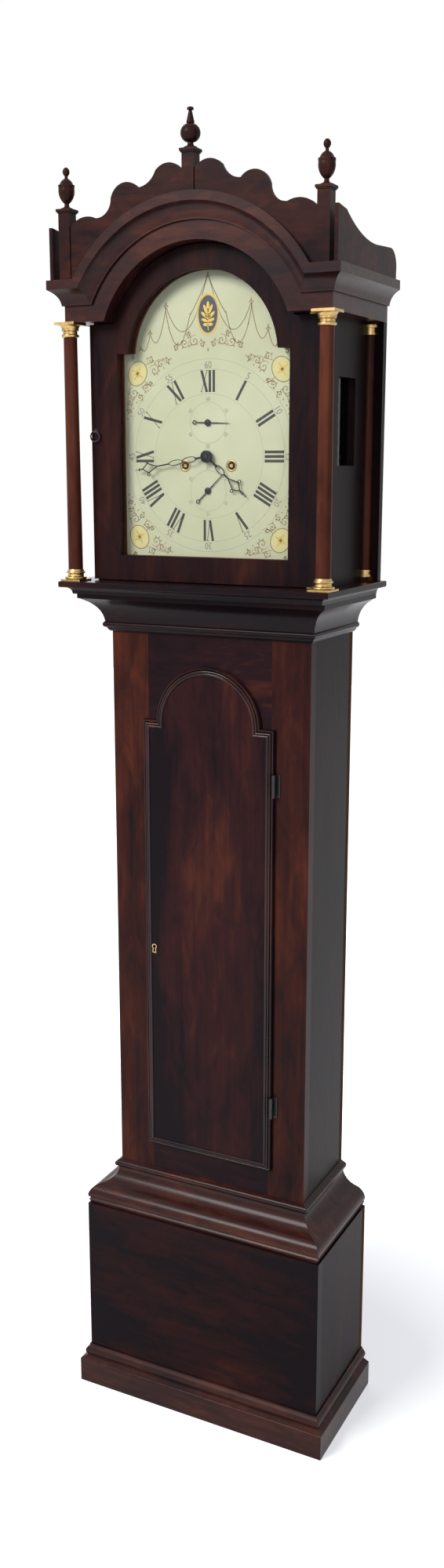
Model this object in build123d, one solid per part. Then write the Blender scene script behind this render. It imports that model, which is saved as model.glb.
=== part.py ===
from build123d import *
import os
from math import cos, pi, radians, sin, sqrt, tan

os.makedirs("parts", exist_ok=True)

# A break-arch longcase clock. Millimetres, Z up, the front looks along -Y.
# Depths are measured forwards from the wall, so y = BACK_Y - depth.

# Case sizes
BACKBOARD_T = 14.0
SIDE_T = 18.0
FRONT_T = 20.0
BASE_HALF = 230.0
BASE_DEPTH = 220.0
BASE_TOP = 368.0
SKIRT_TOP = 74.0
SKIRT_BLOCK = 47.0
SKIRT_SIDE = 16.0
SKIRT_FRONT = 14.5
TRUNK_HALF = 182.0
TRUNK_DEPTH = 176.0
TRUNK_FOOT = 330.0
BASE_MOULD_TOP = 449.0
THROAT_BOTTOM = 1424.0
THROAT_TOP = 1489.0
THROAT_SIDE = 40.0
THROAT_FRONT = 46.0
BACKBOARD_TOP = 1900.0

# Trunk door and its opening
DOOR_HALF = 121.6
DOOR_BOTTOM = 499.5
DOOR_SHOULDER = 1279.0
DOOR_ARCH_R = 96.5
DOOR_ARCH_Z = 1277.0
DOOR_LIP = 7.6
LIP_T = 4.0
DOOR_PANEL_T = 8.0
DOOR_CORE_T = 16.0
DOOR_FIT = 1.5
FACE_GAP = 0.3
DOOR_BEAD_IN = 9.0
DOOR_BEAD_W = 4.0
DOOR_BEAD_H = 1.2
HINGE_LONG = 38.0
HINGE_LOW_Z = 619.0
HINGE_HIGH_Z = 1187.0
KNUCKLE_R = 3.4
HINGE_PIN_R = 1.5
LEAF_T = 1.5
KEYHOLE_X = -103.4
KEYHOLE_Z = 877.0
LOCK_W = 44.0
LOCK_H = 46.0
LOCK_T = 13.0
LOCK_INSET = 2.5
BOLT_LONG = 28.0
BOLT_T = 5.0
BOLT_H = 14.0

# Hood sizes
HOOD_BASE_T = 21.0
NOSE_OUT = 17.0
HOOD_SLIDE_FIT = 2.0
NOSE_MARGIN_SIDE = 0.75
NOSE_MARGIN_FRONT = 6.75
FRIEZE_OVER_SIDE = 24.0
FRIEZE_OVER_FRONT = 47.0
MASK_T = 3.5
FLANGE_T = 14.0
FRIEZE_BOTTOM = 1916.0
FRIEZE_HALF = 229.0
FRIEZE_DEPTH = 227.0
FRIEZE_T = 20.0
CORNICE_BOTTOM = 1941.0
CORNICE_TOP = 1978.5
CORNICE_SIDE = 20.0
CORNICE_FRONT = 21.5
ARCH_Z = 1858.0
FRIEZE_ARCH_R = 168.0
CORNICE_ARCH_OUT = 28.0
LINING_T = 6.0
ROOF_T = 12.0
BARREL_OUT = 43.0
BARREL_T = 6.0
WINDOW_D0 = 70.0
WINDOW_D1 = 140.0
WINDOW_Z0 = 1695.0
WINDOW_Z1 = 1828.0
REBATE = 4.0
GLASS_T = 2.0

# Hood door
HOOD_DOOR_TO_COLUMN = 1.95
HOOD_DOOR_T = 19.0
HOOD_DOOR_GAP = 1.0
HOOD_DOOR_PLAY = 2.0
SIGHT_HALF = 150.0
SIGHT_BOTTOM = 1552.5
SIGHT_SHOULDER = 1868.0
SIGHT_ARCH_R = 130.0
GLASS_BACK = 7.0
PIVOT_IN = 3.3
PIVOT_R = 2.0
PIVOT_LONG = 6.0
PULL_IN = 8.3
PULL_Z = 1741.0

# Columns and roof ornament
COLUMN_IN = 8.5
COLUMN_BEHIND = 1.0
COLUMN_R = 12.0
COLUMN_TAPER = 0.9
COLUMN_PLATE = 36.5
BASE_BRASS_H = 19.0
CAP_BRASS_H = 23.0
QUARTER_R = 9.0
QUARTER_BLOCK = 15.0
PLINTH_IN = 11.0
PLINTH_FORWARD = 4.0
PLINTH_W = 20.0
PLINTH_CAP_W = 25.6
PLINTH_CAP_H = 6.0
SIDE_PLINTH_TOP = 2083.0
CENTRE_PLINTH_TOP = 2151.0
SIDE_FINIAL_H = 61.0
SIDE_FINIAL_R = 12.8
CENTRE_FINIAL_H = 57.0
CENTRE_FINIAL_R = 15.0
CREST_T = 6.0
CREST_FORWARD = 9.0
CREST_OUT = 11.0

# Dial and hands
DIAL_Z = 1709.0
DIAL_BEHIND = 4.0
DIAL_T = 2.0
DIAL_LAP = 3.0
MASK_OPEN = 0.5
SUBDIAL_UP = 52.0
SUBDIAL_DOWN = 53.0
WIND_X = 41.0
WIND_DROP = 14.0
HAND_T = 1.2
HOUR_LONG = 93.5
MINUTE_LONG = 131.0
SECONDS_LONG = 37.5
SECONDS_TAIL = 23.5
DATE_LONG = 37.0
DATE_TAIL = 24.5
HUB_R = 9.6
SMALL_HUB_R = 5.2
HOUR_ANGLE = 132.0
MINUTE_ANGLE = 260.4
SECONDS_ANGLE = 92.0
DATE_ANGLE = 46.0
SEAT_HAND_DEPTH = 177.6
HOUR_DEPTH = 180.2
MINUTE_DEPTH = 184.0

# Movement
PLATE_HALF = 86.0
PLATE_H = 178.0
PLATE_T = 3.5
PLATE_GAP = 62.0
DIAL_FOOT_LONG = 27.5
PILLAR_R = 5.0
FOOT_R = 4.0
SEAT_T = 20.0
SEAT_TOP = 1620.0
SEAT_DEPTH0 = 64.0
SEAT_DEPTH1 = 150.0
RUN = 0.05
PIVOT_SMALL_R = 1.5
ARBOR_R = 2.0
WINDING_ARBOR_R = 3.5
WHEEL_T = 2.5
THIN_WHEEL_T = 1.5
GREAT_TEETH = 96
CENTRE_TEETH = 60
THIRD_TEETH = 56
ESCAPE_TEETH = 30
PINION_LEAVES = 8
ESCAPE_LEAVES = 7
GREAT_R = 40.0
CENTRE_R = 25.5
THIRD_R = 23.0
ESCAPE_R = 17.0
THIRD_X = 8.5
THIRD_UP = 27.6
MESH_GAP = 0.3
PALLET_UP = 75.0
PALLET_ROOM = 2.5
DRUM_R = 20.0
DRUM_LONG = 30.0
LINE_R = 0.8
PULLEY_R = 19.0
PULLEY_T = 6.0
LINE_DEPTH = 105.0
PULLEY_Z = 1560.0
WEIGHT_R = 29.0
WEIGHT_H = 190.0
WEIGHT_DROP = 44.0
PENDULUM_DEPTH = 50.0
PENDULUM_LONG = 994.0
ROD_R = 2.5
BOB_R = 55.0
BOB_T = 26.0
NUT_R = 8.0
NUT_H = 6.0
COCK_DEPTH = 62.0
BELL_X = -30.0
BELL_DEPTH = 100.0
BELL_R = 46.0
BELL_H = 30.0
BELL_MOUTH = 1812.0
BELL_T = 2.5
HAMMER_X = -78.0
HAMMER_Z = 1735.0
HAMMER_GAP = 1.5
HAMMER_R = 7.0

# Places worked out from the sizes above
FLANGE_HALF = FRIEZE_HALF
HOOD_SIDE_HALF = FRIEZE_HALF - FRIEZE_OVER_SIDE
HOOD_CARCASE_DEPTH = FRIEZE_DEPTH - FRIEZE_OVER_FRONT
COLUMN_X = FRIEZE_HALF - COLUMN_IN
COLUMN_DEPTH = FRIEZE_DEPTH - COLUMN_BEHIND
HOOD_NOSE_HALF = COLUMN_X + COLUMN_PLATE / 2 + NOSE_MARGIN_SIDE
HOOD_NOSE_DEPTH = COLUMN_DEPTH + COLUMN_PLATE / 2 + NOSE_MARGIN_FRONT
BACK_Y = HOOD_NOSE_DEPTH / 2
HOOD_DOOR_HALF = COLUMN_X - COLUMN_PLATE / 2 - HOOD_DOOR_TO_COLUMN
PIVOT_X = HOOD_DOOR_HALF - PIVOT_IN
PULL_X = PULL_IN - HOOD_DOOR_HALF
PLINTH_X = FRIEZE_HALF - PLINTH_IN
PLINTH_DEPTH = FRIEZE_DEPTH + PLINTH_FORWARD
CREST_DEPTH = FRIEZE_DEPTH + CREST_FORWARD
CREST_SIDE_X = FRIEZE_HALF + CREST_OUT
CORNICE_ARCH_R = FRIEZE_ARCH_R + CORNICE_ARCH_OUT
BARREL_R = FRIEZE_ARCH_R + BARREL_OUT
DIAL_FACE = HOOD_CARCASE_DEPTH - DIAL_BEHIND
DIAL_HALF = SIGHT_HALF + DIAL_LAP
DIAL_BOTTOM = SIGHT_BOTTOM - DIAL_LAP
DIAL_SHOULDER = SIGHT_SHOULDER + DIAL_LAP
DIAL_ARCH_R = SIGHT_ARCH_R + DIAL_LAP
HOOD_BASE_TOP = THROAT_TOP + HOOD_BASE_T
HOOD_INNER = HOOD_SIDE_HALF - SIDE_T
ROOF_BOTTOM = CORNICE_TOP - 4.5 - ROOF_T
ROOF_TOP = ROOF_BOTTOM + ROOF_T
CORNICE_H = CORNICE_TOP - CORNICE_BOTTOM
CORNICE_TOP_R = CORNICE_ARCH_R + CORNICE_H
FRIEZE_BACK = FRIEZE_DEPTH - FRIEZE_T
HOOD_DOOR_BACK = HOOD_CARCASE_DEPTH + HOOD_DOOR_GAP
HOOD_DOOR_FACE = HOOD_DOOR_BACK + HOOD_DOOR_T
HOOD_DOOR_BOTTOM = HOOD_BASE_TOP + HOOD_DOOR_PLAY
HOOD_DOOR_TOP = FRIEZE_BOTTOM - HOOD_DOOR_PLAY
HOOD_DOOR_R = FRIEZE_ARCH_R - HOOD_DOOR_PLAY
PIVOT_DEPTH = (HOOD_DOOR_FACE + FRIEZE_DEPTH) / 2
GLASS_D0 = HOOD_DOOR_BACK + GLASS_BACK
FRAME_BACK = TRUNK_DEPTH - FRONT_T
OPEN_HALF = DOOR_HALF - DOOR_LIP
OPEN_BOTTOM = DOOR_BOTTOM + DOOR_LIP
OPEN_SHOULDER = DOOR_SHOULDER - DOOR_LIP
OPEN_ARCH_R = DOOR_ARCH_R - DOOR_LIP
LIP_D0 = TRUNK_DEPTH + FACE_GAP
DOOR_FACE = LIP_D0 + DOOR_PANEL_T
CORE_BACK = LIP_D0 - DOOR_CORE_T
HINGE_X = DOOR_HALF + 0.4
HINGE_D = LIP_D0 + LIP_T + KNUCKLE_R + 0.8
CHEEK_TOP = SEAT_TOP - SEAT_T
DIAL_BACK = DIAL_FACE - DIAL_T
FRONT_PLATE1 = DIAL_BACK - DIAL_FOOT_LONG
FRONT_PLATE0 = FRONT_PLATE1 - PLATE_T
BACK_PLATE1 = FRONT_PLATE0 - PLATE_GAP
BACK_PLATE0 = BACK_PLATE1 - PLATE_T
PLATE_TOP = SEAT_TOP + PLATE_H
WIND_Z = DIAL_Z - WIND_DROP
SECONDS_Z = DIAL_Z + SUBDIAL_UP
DATE_Z = DIAL_Z - SUBDIAL_DOWN
PALLET_Z = DIAL_Z + PALLET_UP
THIRD_Z = DIAL_Z + THIRD_UP
DRUM_D0 = BACK_PLATE1 + 7.0
DRUM_D1 = DRUM_D0 + DRUM_LONG
STRIKE_WHEEL_D = DRUM_D1 + 2.0
GREAT_D = STRIKE_WHEEL_D + WHEEL_T + 5.0
CENTRE_D = GREAT_D + WHEEL_T + 4.5
THIRD_D = DRUM_D0 + 12.0
ESCAPE_D = THIRD_D + 12.0
LINE_OUT = DRUM_R + LINE_R
PULLEY_REACH = PULLEY_R + LINE_R


def save(name, *solids):
    """Write one node: a single solid, or a group of separate ones."""
    shape = solids[0] if len(solids) == 1 else Compound(children=list(solids))
    export_step(shape, f"parts/{name}.step")


def board(x0, x1, d0, d1, z0, z1):
    """Plain board between two x, two depths and two heights."""
    middle = Pos((x0 + x1) / 2, BACK_Y - (d0 + d1) / 2, (z0 + z1) / 2)
    return middle * Box(abs(x1 - x0), abs(d1 - d0), abs(z1 - z0))


def rod_z(r, x, depth, z0, z1):
    """Upright round rod."""
    return Pos(x, BACK_Y - depth, (z0 + z1) / 2) * Cylinder(r, z1 - z0)


def rod_d(r, x, z, d0, d1):
    """Round rod that runs from the wall towards the viewer."""
    return Pos(x, BACK_Y - (d0 + d1) / 2, z) * Rot(90, 0, 0) * Cylinder(r, d1 - d0)


def rod_x(r, depth, z, x0, x1):
    """Round rod that runs from side to side."""
    return Pos((x0 + x1) / 2, BACK_Y - depth, z) * Rot(0, 90, 0) * Cylinder(r, x1 - x0)


def mirrored(solid):
    """The solid and its twin on the other side of the clock."""
    return [solid, mirror(solid, about=Plane.YZ)]


def drawn(start, *steps):
    """Closed face from lines, and from arcs given as (middle, end)."""
    edges = []
    here = start
    for step in steps:
        if isinstance(step[0], tuple):
            edges.append(ThreePointArc(here, step[0], step[1]))
            here = step[1]
        else:
            edges.append(Line(here, step))
            here = step
    if here != start:
        edges.append(Line(here, start))
    return make_face(edges)


def facing(sketch, d0, d1):
    """Sketch in x and z, made solid between two depths."""
    wall = Plane(origin=(0, BACK_Y - d0, 0), x_dir=(1, 0, 0), z_dir=(0, -1, 0))
    return extrude(wall * sketch, amount=d1 - d0, dir=(0, -1, 0))


def running(sketch, x0, x1):
    """Sketch in depth and z, made solid between two x."""
    side = Plane(origin=(x0, BACK_Y, 0), x_dir=(0, -1, 0), z_dir=(-1, 0, 0))
    return extrude(side * sketch, amount=x1 - x0, dir=(1, 0, 0))


def turned(sketch, x, depth):
    """Sketch in radius and z, turned about an upright axis."""
    upright = Plane(origin=(x, BACK_Y - depth, 0), x_dir=(1, 0, 0), z_dir=(0, -1, 0))
    return revolve(upright * sketch, axis=Axis((x, BACK_Y - depth, 0), (0, 0, 1)))


def spun(sketch, x, z):
    """Sketch in radius and depth, turned about an axis that faces the viewer."""
    level = Plane(origin=(x, BACK_Y, z), x_dir=(1, 0, 0), z_dir=(0, 0, -1))
    return revolve(level * sketch, axis=Axis((x, BACK_Y, z), (0, 1, 0)))


def plan(points, z0, z1):
    """Prism over (x, depth) points."""
    flat = Polyline(*[(x, BACK_Y - d) for x, d in points], close=True)
    return extrude(Pos(0, 0, z0) * make_face(flat), amount=z1 - z0, dir=(0, 0, 1))


def rect(x0, x1, z0, z1):
    """Rectangle in x and z."""
    return Pos((x0 + x1) / 2, (z0 + z1) / 2) * Rectangle(x1 - x0, z1 - z0)


def disc_above(radius, level, centre=ARCH_Z):
    """The part of a round arch that stands above a level."""
    return (Pos(0, centre) * Circle(radius)) & rect(-radius, radius, level, centre + radius)


def arched(half, bottom, shoulder, radius, centre=ARCH_Z):
    """Break-arch outline: a rectangle with a round arch over its middle."""
    return rect(-half, half, bottom, shoulder) + disc_above(radius, min(shoulder, centre), centre)


def stepped(points, side):
    """Moulding outline with its projections stretched to one side's reach."""
    reach = max(p[0] for p in flat_points(points))
    scale = side / reach

    def place(point):
        return (point[0] * scale, point[1])

    steps = []
    for point in points:
        if isinstance(point[0], tuple):
            steps.append((place(point[0]), place(point[1])))
        else:
            steps.append(place(point))
    return steps


def flat_points(points):
    """Every end point of a moulding outline."""
    return [p[1] if isinstance(p[0], tuple) else p for p in points]


def mitred(points, half, depth, side, front):
    """Front, left and right lengths of a moulding, mitred at the two front corners."""
    low = min(p[1] for p in flat_points(points)) - 1
    high = max(p[1] for p in flat_points(points)) + 1
    side_steps = stepped(points, side)
    front_steps = stepped(points, front)
    side_face = Pos(half, 0) * drawn(*side_steps)
    front_face = Pos(depth, 0) * drawn(*front_steps)
    front_bar = running(front_face, -half - side, half + side)
    front_bar &= plan([(-half, depth), (-half - side, depth + front),
                       (half + side, depth + front), (half, depth)], low, high)
    side_bar = facing(side_face, 0, depth + front)
    side_bar &= plan([(half, 0), (half + side, 0), (half + side, depth + front),
                      (half, depth)], low, high)
    return [front_bar] + mirrored(side_bar)


def toothed(teeth, tip, root):
    """Wheel outline with straight-sided teeth."""
    points = []
    for i in range(teeth):
        for share, radius in ((0.0, root), (0.18, tip), (0.45, tip), (0.63, root)):
            angle = 2 * pi * (i + share) / teeth
            points.append((radius * cos(angle), radius * sin(angle)))
    return make_face(Polyline(*points, close=True))


def crossed_wheel(teeth, tip, depth_of_tooth, hub, spoke):
    """Toothed wheel crossed out to four spokes."""
    rim = tip - 2.2 * depth_of_tooth
    windows = Circle(rim) - Circle(hub)
    windows -= Rectangle(2 * tip, spoke) + Rectangle(spoke, 2 * tip)
    return toothed(teeth, tip, tip - depth_of_tooth) - windows


def keyhole(x, z, r, drop, grow=0.0):
    """Keyhole outline: a round top over a flared slot."""
    slot = drawn((x - 0.45 * r - grow, z), (x + 0.45 * r + grow, z),
                 (x + 0.7 * r + grow, z - drop - grow), (x - 0.7 * r - grow, z - drop - grow))
    return (Pos(x, z) * Circle(r + grow)) + slot


# Case
def make_backboard():
    """Full-height back with glued ears behind the base."""
    outline = rect(-TRUNK_HALF, TRUNK_HALF, 0, BACKBOARD_TOP) + rect(-BASE_HALF, BASE_HALF, 0, BASE_TOP)
    save("backboard", facing(outline, 0, BACKBOARD_T))


def make_base():
    """Pedestal boards, skirting and the moulding that carries the trunk."""
    save("base_front_panel",
         board(-BASE_HALF, BASE_HALF, BASE_DEPTH - FRONT_T, BASE_DEPTH, 0, BASE_TOP))
    save("base_sides", *mirrored(
        board(BASE_HALF - SIDE_T, BASE_HALF, BACKBOARD_T, BASE_DEPTH - FRONT_T, 0, BASE_TOP)))
    shelf = SKIRT_TOP - SKIRT_BLOCK
    skirt = [(0, 0), (16, 0), (16, SKIRT_BLOCK - 2), ((15.4, SKIRT_BLOCK - 0.6), (14, SKIRT_BLOCK)),
             (6, SKIRT_BLOCK + 0.15 * shelf), (6, SKIRT_BLOCK + 0.25 * shelf),
             ((8.6, SKIRT_BLOCK + 0.5 * shelf), (6, SKIRT_BLOCK + 0.75 * shelf)),
             (2.5, SKIRT_TOP - 0.1 * shelf), (2.5, SKIRT_TOP), (0, SKIRT_TOP)]
    save("plinth_skirting", *mitred(skirt, BASE_HALF, BASE_DEPTH, SKIRT_SIDE, SKIRT_FRONT))
    out_side = BASE_HALF - TRUNK_HALF
    out_front = BASE_DEPTH - TRUNK_DEPTH
    rise = BASE_MOULD_TOP - BASE_TOP
    low = BASE_TOP
    curve = [(0, low), (44, low), (46.6, low + 0.1 * rise), (44.6, low + 0.13 * rise),
             (48, low + 0.17 * rise), (48, low + 0.22 * rise),
             ((42, low + 0.36 * rise), (29, low + 0.45 * rise)),
             ((13, low + 0.56 * rise), (4.5, low + 0.73 * rise)),
             (4, low + 0.8 * rise), (8.5, low + 0.84 * rise),
             ((10, low + 0.91 * rise), (7, low + 0.96 * rise)), (0, BASE_MOULD_TOP)]
    save("base_moulding", *mitred(curve, TRUNK_HALF, TRUNK_DEPTH, out_side, out_front))


def make_trunk():
    """Trunk boards, the frame round the door and the throat moulding."""
    save("trunk_sides", *mirrored(
        board(TRUNK_HALF - SIDE_T, TRUNK_HALF, BACKBOARD_T, FRAME_BACK, TRUNK_FOOT, CHEEK_TOP)))
    save("trunk_stiles", *mirrored(
        board(OPEN_HALF, TRUNK_HALF, FRAME_BACK, TRUNK_DEPTH, TRUNK_FOOT, THROAT_TOP)))
    low = board(-OPEN_HALF, OPEN_HALF, FRAME_BACK, TRUNK_DEPTH, TRUNK_FOOT, OPEN_BOTTOM)
    top = rect(-OPEN_HALF, OPEN_HALF, OPEN_SHOULDER, THROAT_TOP)
    top -= Pos(0, DOOR_ARCH_Z) * Circle(OPEN_ARCH_R)
    save("trunk_rails", facing(top, FRAME_BACK, TRUNK_DEPTH), low)
    rise = THROAT_TOP - THROAT_BOTTOM
    low = THROAT_BOTTOM
    throat = [(0, low), (2.5, low), (5, low + 0.04 * rise), (7, low + 0.1 * rise),
              ((11.6, low + 0.18 * rise), (8.6, low + 0.25 * rise)),
              ((14, low + 0.53 * rise), (27.5, low + 0.77 * rise)),
              (37, low + 0.86 * rise), (40, low + 0.87 * rise), (40, THROAT_TOP), (0, THROAT_TOP)]
    save("throat_moulding", *mitred(throat, TRUNK_HALF, TRUNK_DEPTH, THROAT_SIDE, THROAT_FRONT))


def make_seatboard():
    """Board across the cheeks that carries the movement, slotted for the lines."""
    seat = board(-TRUNK_HALF, TRUNK_HALF, SEAT_DEPTH0, SEAT_DEPTH1, CHEEK_TOP, SEAT_TOP)
    for side in (1, -1):
        lead, fixed = line_places(side)
        slot = board(lead - 4, lead + 4, LINE_DEPTH - 16, LINE_DEPTH + 16, CHEEK_TOP - 1, SEAT_TOP + 1)
        seat -= slot
        seat -= rod_z(LINE_R + RUN, fixed, LINE_DEPTH, CHEEK_TOP - 1, SEAT_TOP + 1)
    save("seatboard", seat)


# Trunk door
def hinge_heights():
    """Middle heights of the two trunk door hinges."""
    return (HINGE_LOW_Z, HINGE_HIGH_Z)


def make_trunk_door():
    """Lipped door with an applied bead, its hinges, lock and bolt."""
    core = arched(OPEN_HALF - DOOR_FIT, OPEN_BOTTOM + DOOR_FIT, OPEN_SHOULDER - DOOR_FIT,
                  OPEN_ARCH_R - DOOR_FIT, DOOR_ARCH_Z)
    lip = arched(DOOR_HALF, DOOR_BOTTOM, DOOR_SHOULDER, DOOR_ARCH_R, DOOR_ARCH_Z)
    inner = DOOR_BEAD_IN - DOOR_BEAD_W
    panel = arched(DOOR_HALF - inner, DOOR_BOTTOM + inner, DOOR_SHOULDER - inner,
                   DOOR_ARCH_R - inner, DOOR_ARCH_Z)
    far = DOOR_BEAD_IN + DOOR_BEAD_W
    field = arched(DOOR_HALF - far, DOOR_BOTTOM + far, DOOR_SHOULDER - far,
                   DOOR_ARCH_R - far, DOOR_ARCH_Z)
    door = facing(core, CORE_BACK, LIP_D0 + 0.5) + facing(lip, LIP_D0, LIP_D0 + LIP_T + 1)
    door += facing(panel, LIP_D0 + LIP_T, DOOR_FACE)
    bead = arched(DOOR_HALF - DOOR_BEAD_IN, DOOR_BOTTOM + DOOR_BEAD_IN, DOOR_SHOULDER - DOOR_BEAD_IN,
                  DOOR_ARCH_R - DOOR_BEAD_IN, DOOR_ARCH_Z) - field
    door += facing(bead, DOOR_FACE - 1, DOOR_FACE + DOOR_BEAD_H)
    leaf_floor = LIP_D0 + LIP_T - 1.0
    for z in hinge_heights():
        half = HINGE_LONG / 2
        door -= board(HINGE_X - KNUCKLE_R - 0.5, DOOR_HALF + 1, leaf_floor + LEAF_T, DOOR_FACE + 5,
                      z - half - 0.5, z + half + 0.5)
        door -= board(HINGE_X - 14, DOOR_HALF + 1, leaf_floor, leaf_floor + LEAF_T, z - half, z + half)
    door -= facing(keyhole(KEYHOLE_X, KEYHOLE_Z, 3.0, 10.0), CORE_BACK - 1, DOOR_FACE + 5)
    save("trunk_door", door)

    leaves = []
    fixed = []
    for z in hinge_heights():
        half = HINGE_LONG / 2
        third = HINGE_LONG / 6
        leaf = board(HINGE_X - 14, HINGE_X - 0.6, leaf_floor, leaf_floor + LEAF_T, z - half, z + half)
        knuckle = rod_z(KNUCKLE_R, HINGE_X, HINGE_D, z - third + 0.2, z + third - 0.2)
        web = board(HINGE_X - 2.6, HINGE_X - 0.8, leaf_floor + 0.2, HINGE_D, z - third + 0.2, z + third - 0.2)
        pin = rod_z(HINGE_PIN_R, HINGE_X, HINGE_D, z - half, z + half)
        leaves.append(leaf + web + knuckle + pin)
        plate = board(HINGE_X + 0.2, HINGE_X + 9, TRUNK_DEPTH, TRUNK_DEPTH + LEAF_T, z - half, z + half)
        for z0, z1 in ((z - half, z - third), (z + third, z + half)):
            barrel = rod_z(KNUCKLE_R, HINGE_X, HINGE_D, z0, z1)
            barrel += board(HINGE_X + 0.2, HINGE_X + 1.7, TRUNK_DEPTH, HINGE_D, z0, z1)
            plate += barrel - rod_z(HINGE_PIN_R + RUN, HINGE_X, HINGE_D, z0 - 1, z1 + 1)
        fixed.append(plate)
    save("trunk_hinge_leaves", *leaves)
    save("case_hinge_leaves", *fixed)

    ring = keyhole(KEYHOLE_X, KEYHOLE_Z, 3.0, 10.0, 1.6) - keyhole(KEYHOLE_X, KEYHOLE_Z, 3.0, 10.0)
    save("trunk_escutcheon", facing(ring, DOOR_FACE, DOOR_FACE + 0.8))
    edge = -OPEN_HALF + DOOR_FIT + LOCK_INSET
    bolt_d0 = FRAME_BACK - FACE_GAP - BOLT_T
    bolt_z0 = KEYHOLE_Z - BOLT_H / 2
    case = board(edge, edge + LOCK_W, CORE_BACK - LOCK_T, CORE_BACK, KEYHOLE_Z - LOCK_H / 2,
                 KEYHOLE_Z + LOCK_H / 2)
    case -= board(edge - 1, edge + BOLT_LONG + 1, bolt_d0 - RUN, bolt_d0 + BOLT_T + RUN,
                  bolt_z0 - RUN, bolt_z0 + BOLT_H + RUN)
    save("trunk_lock", case)
    save("lock_bolt", board(edge, edge + BOLT_LONG, bolt_d0, bolt_d0 + BOLT_T, bolt_z0, bolt_z0 + BOLT_H))


# Hood
def make_hood_base():
    """Boards that ride on the throat moulding, with their nosing."""
    half = HOOD_NOSE_HALF - NOSE_OUT
    depth = HOOD_NOSE_DEPTH - NOSE_OUT
    inner = TRUNK_HALF + HOOD_SLIDE_FIT
    side = board(inner, half, 0, depth, THROAT_TOP, HOOD_BASE_TOP)
    side -= rod_z(PIVOT_R + RUN, PIVOT_X, PIVOT_DEPTH, HOOD_BASE_TOP - PIVOT_LONG - 1, HOOD_BASE_TOP + 1)
    left = board(-half, -inner, 0, depth, THROAT_TOP, HOOD_BASE_TOP)
    front = board(-inner, inner, TRUNK_DEPTH + HOOD_SLIDE_FIT, depth, THROAT_TOP, HOOD_BASE_TOP)
    low = THROAT_TOP
    rise = HOOD_BASE_T
    nose = [(0, low), (1, low + 0.25 * rise), ((5, low + 0.46 * rise), (15, low + 0.54 * rise)),
            (15.8, low + 0.6 * rise), ((17, low + 0.77 * rise), (15.5, low + 0.95 * rise)),
            (14, HOOD_BASE_TOP), (0, HOOD_BASE_TOP)]
    save("hood_base_frame", side, left, front, *mitred(nose, half, depth, NOSE_OUT, NOSE_OUT))


def make_hood_sides():
    """Side boards with glazed windows, and the flanges beside the back opening."""
    side = board(HOOD_INNER, HOOD_SIDE_HALF, 0, HOOD_CARCASE_DEPTH, HOOD_BASE_TOP, ROOF_BOTTOM)
    side -= board(HOOD_INNER - 1, HOOD_SIDE_HALF + 1, WINDOW_D0, WINDOW_D1, WINDOW_Z0, WINDOW_Z1)
    glass_x = HOOD_INNER + REBATE + GLASS_T
    side -= board(HOOD_INNER - 1, glass_x, WINDOW_D0 - REBATE, WINDOW_D1 + REBATE,
                  WINDOW_Z0 - REBATE, WINDOW_Z1 + REBATE)
    flange = board(HOOD_SIDE_HALF, FLANGE_HALF, 0, FLANGE_T, HOOD_BASE_TOP, FRIEZE_BOTTOM)
    save("hood_sides", *mirrored(side), *mirrored(flange))
    save("hood_side_glass", *mirrored(
        board(glass_x - GLASS_T, glass_x, WINDOW_D0 - REBATE, WINDOW_D1 + REBATE,
              WINDOW_Z0 - REBATE, WINDOW_Z1 + REBATE)))


def roof_flat_inner():
    """Inner edge of the flat roof boards, just inside the barrel's feet."""
    return sqrt(BARREL_R ** 2 - (ROOF_TOP - ARCH_Z) ** 2) - BARREL_T - 2.0


def make_dial_mask():
    """Thin frame behind the door that hides the dial's edges."""
    half = SIGHT_HALF + MASK_OPEN
    bottom = SIGHT_BOTTOM - MASK_OPEN
    shoulder = SIGHT_SHOULDER + MASK_OPEN
    inner = roof_flat_inner()
    d0 = HOOD_CARCASE_DEPTH - MASK_T
    side = board(half, HOOD_INNER, d0, HOOD_CARCASE_DEPTH, HOOD_BASE_TOP, ROOF_BOTTOM)
    low = board(-half, half, d0, HOOD_CARCASE_DEPTH, HOOD_BASE_TOP, bottom)
    top = rect(-half, half, shoulder, ROOF_BOTTOM) + rect(-inner, inner, ROOF_BOTTOM, ROOF_TOP)
    top += disc_above(BARREL_R - BARREL_T - FACE_GAP, ROOF_TOP)
    top -= disc_above(SIGHT_ARCH_R + MASK_OPEN, shoulder - 1)
    save("dial_mask", *mirrored(side), low, facing(top, d0, HOOD_CARCASE_DEPTH))


def make_frieze():
    """Arched frieze board, its returns along the sides and the lining of the arch."""
    front = rect(-FRIEZE_HALF, FRIEZE_HALF, FRIEZE_BOTTOM, ROOF_TOP)
    front += disc_above(CORNICE_TOP_R - 7.5, ROOF_TOP)
    front -= disc_above(FRIEZE_ARCH_R, FRIEZE_BOTTOM - 1)
    side = board(HOOD_SIDE_HALF, FRIEZE_HALF, 0, FRIEZE_BACK, FRIEZE_BOTTOM, ROOF_BOTTOM)
    lining = rect(-HOOD_SIDE_HALF, HOOD_SIDE_HALF, FRIEZE_BOTTOM, FRIEZE_BOTTOM + LINING_T)
    lining += disc_above(FRIEZE_ARCH_R + LINING_T, FRIEZE_BOTTOM)
    lining -= disc_above(FRIEZE_ARCH_R, FRIEZE_BOTTOM - 1)
    fascia = facing(front, FRIEZE_BACK, FRIEZE_DEPTH)
    fascia -= rod_z(PIVOT_R + RUN, PIVOT_X, PIVOT_DEPTH, FRIEZE_BOTTOM - 1, FRIEZE_BOTTOM + PIVOT_LONG)
    save("hood_frieze", fascia, *mirrored(side), facing(lining, HOOD_CARCASE_DEPTH, FRIEZE_BACK))


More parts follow.
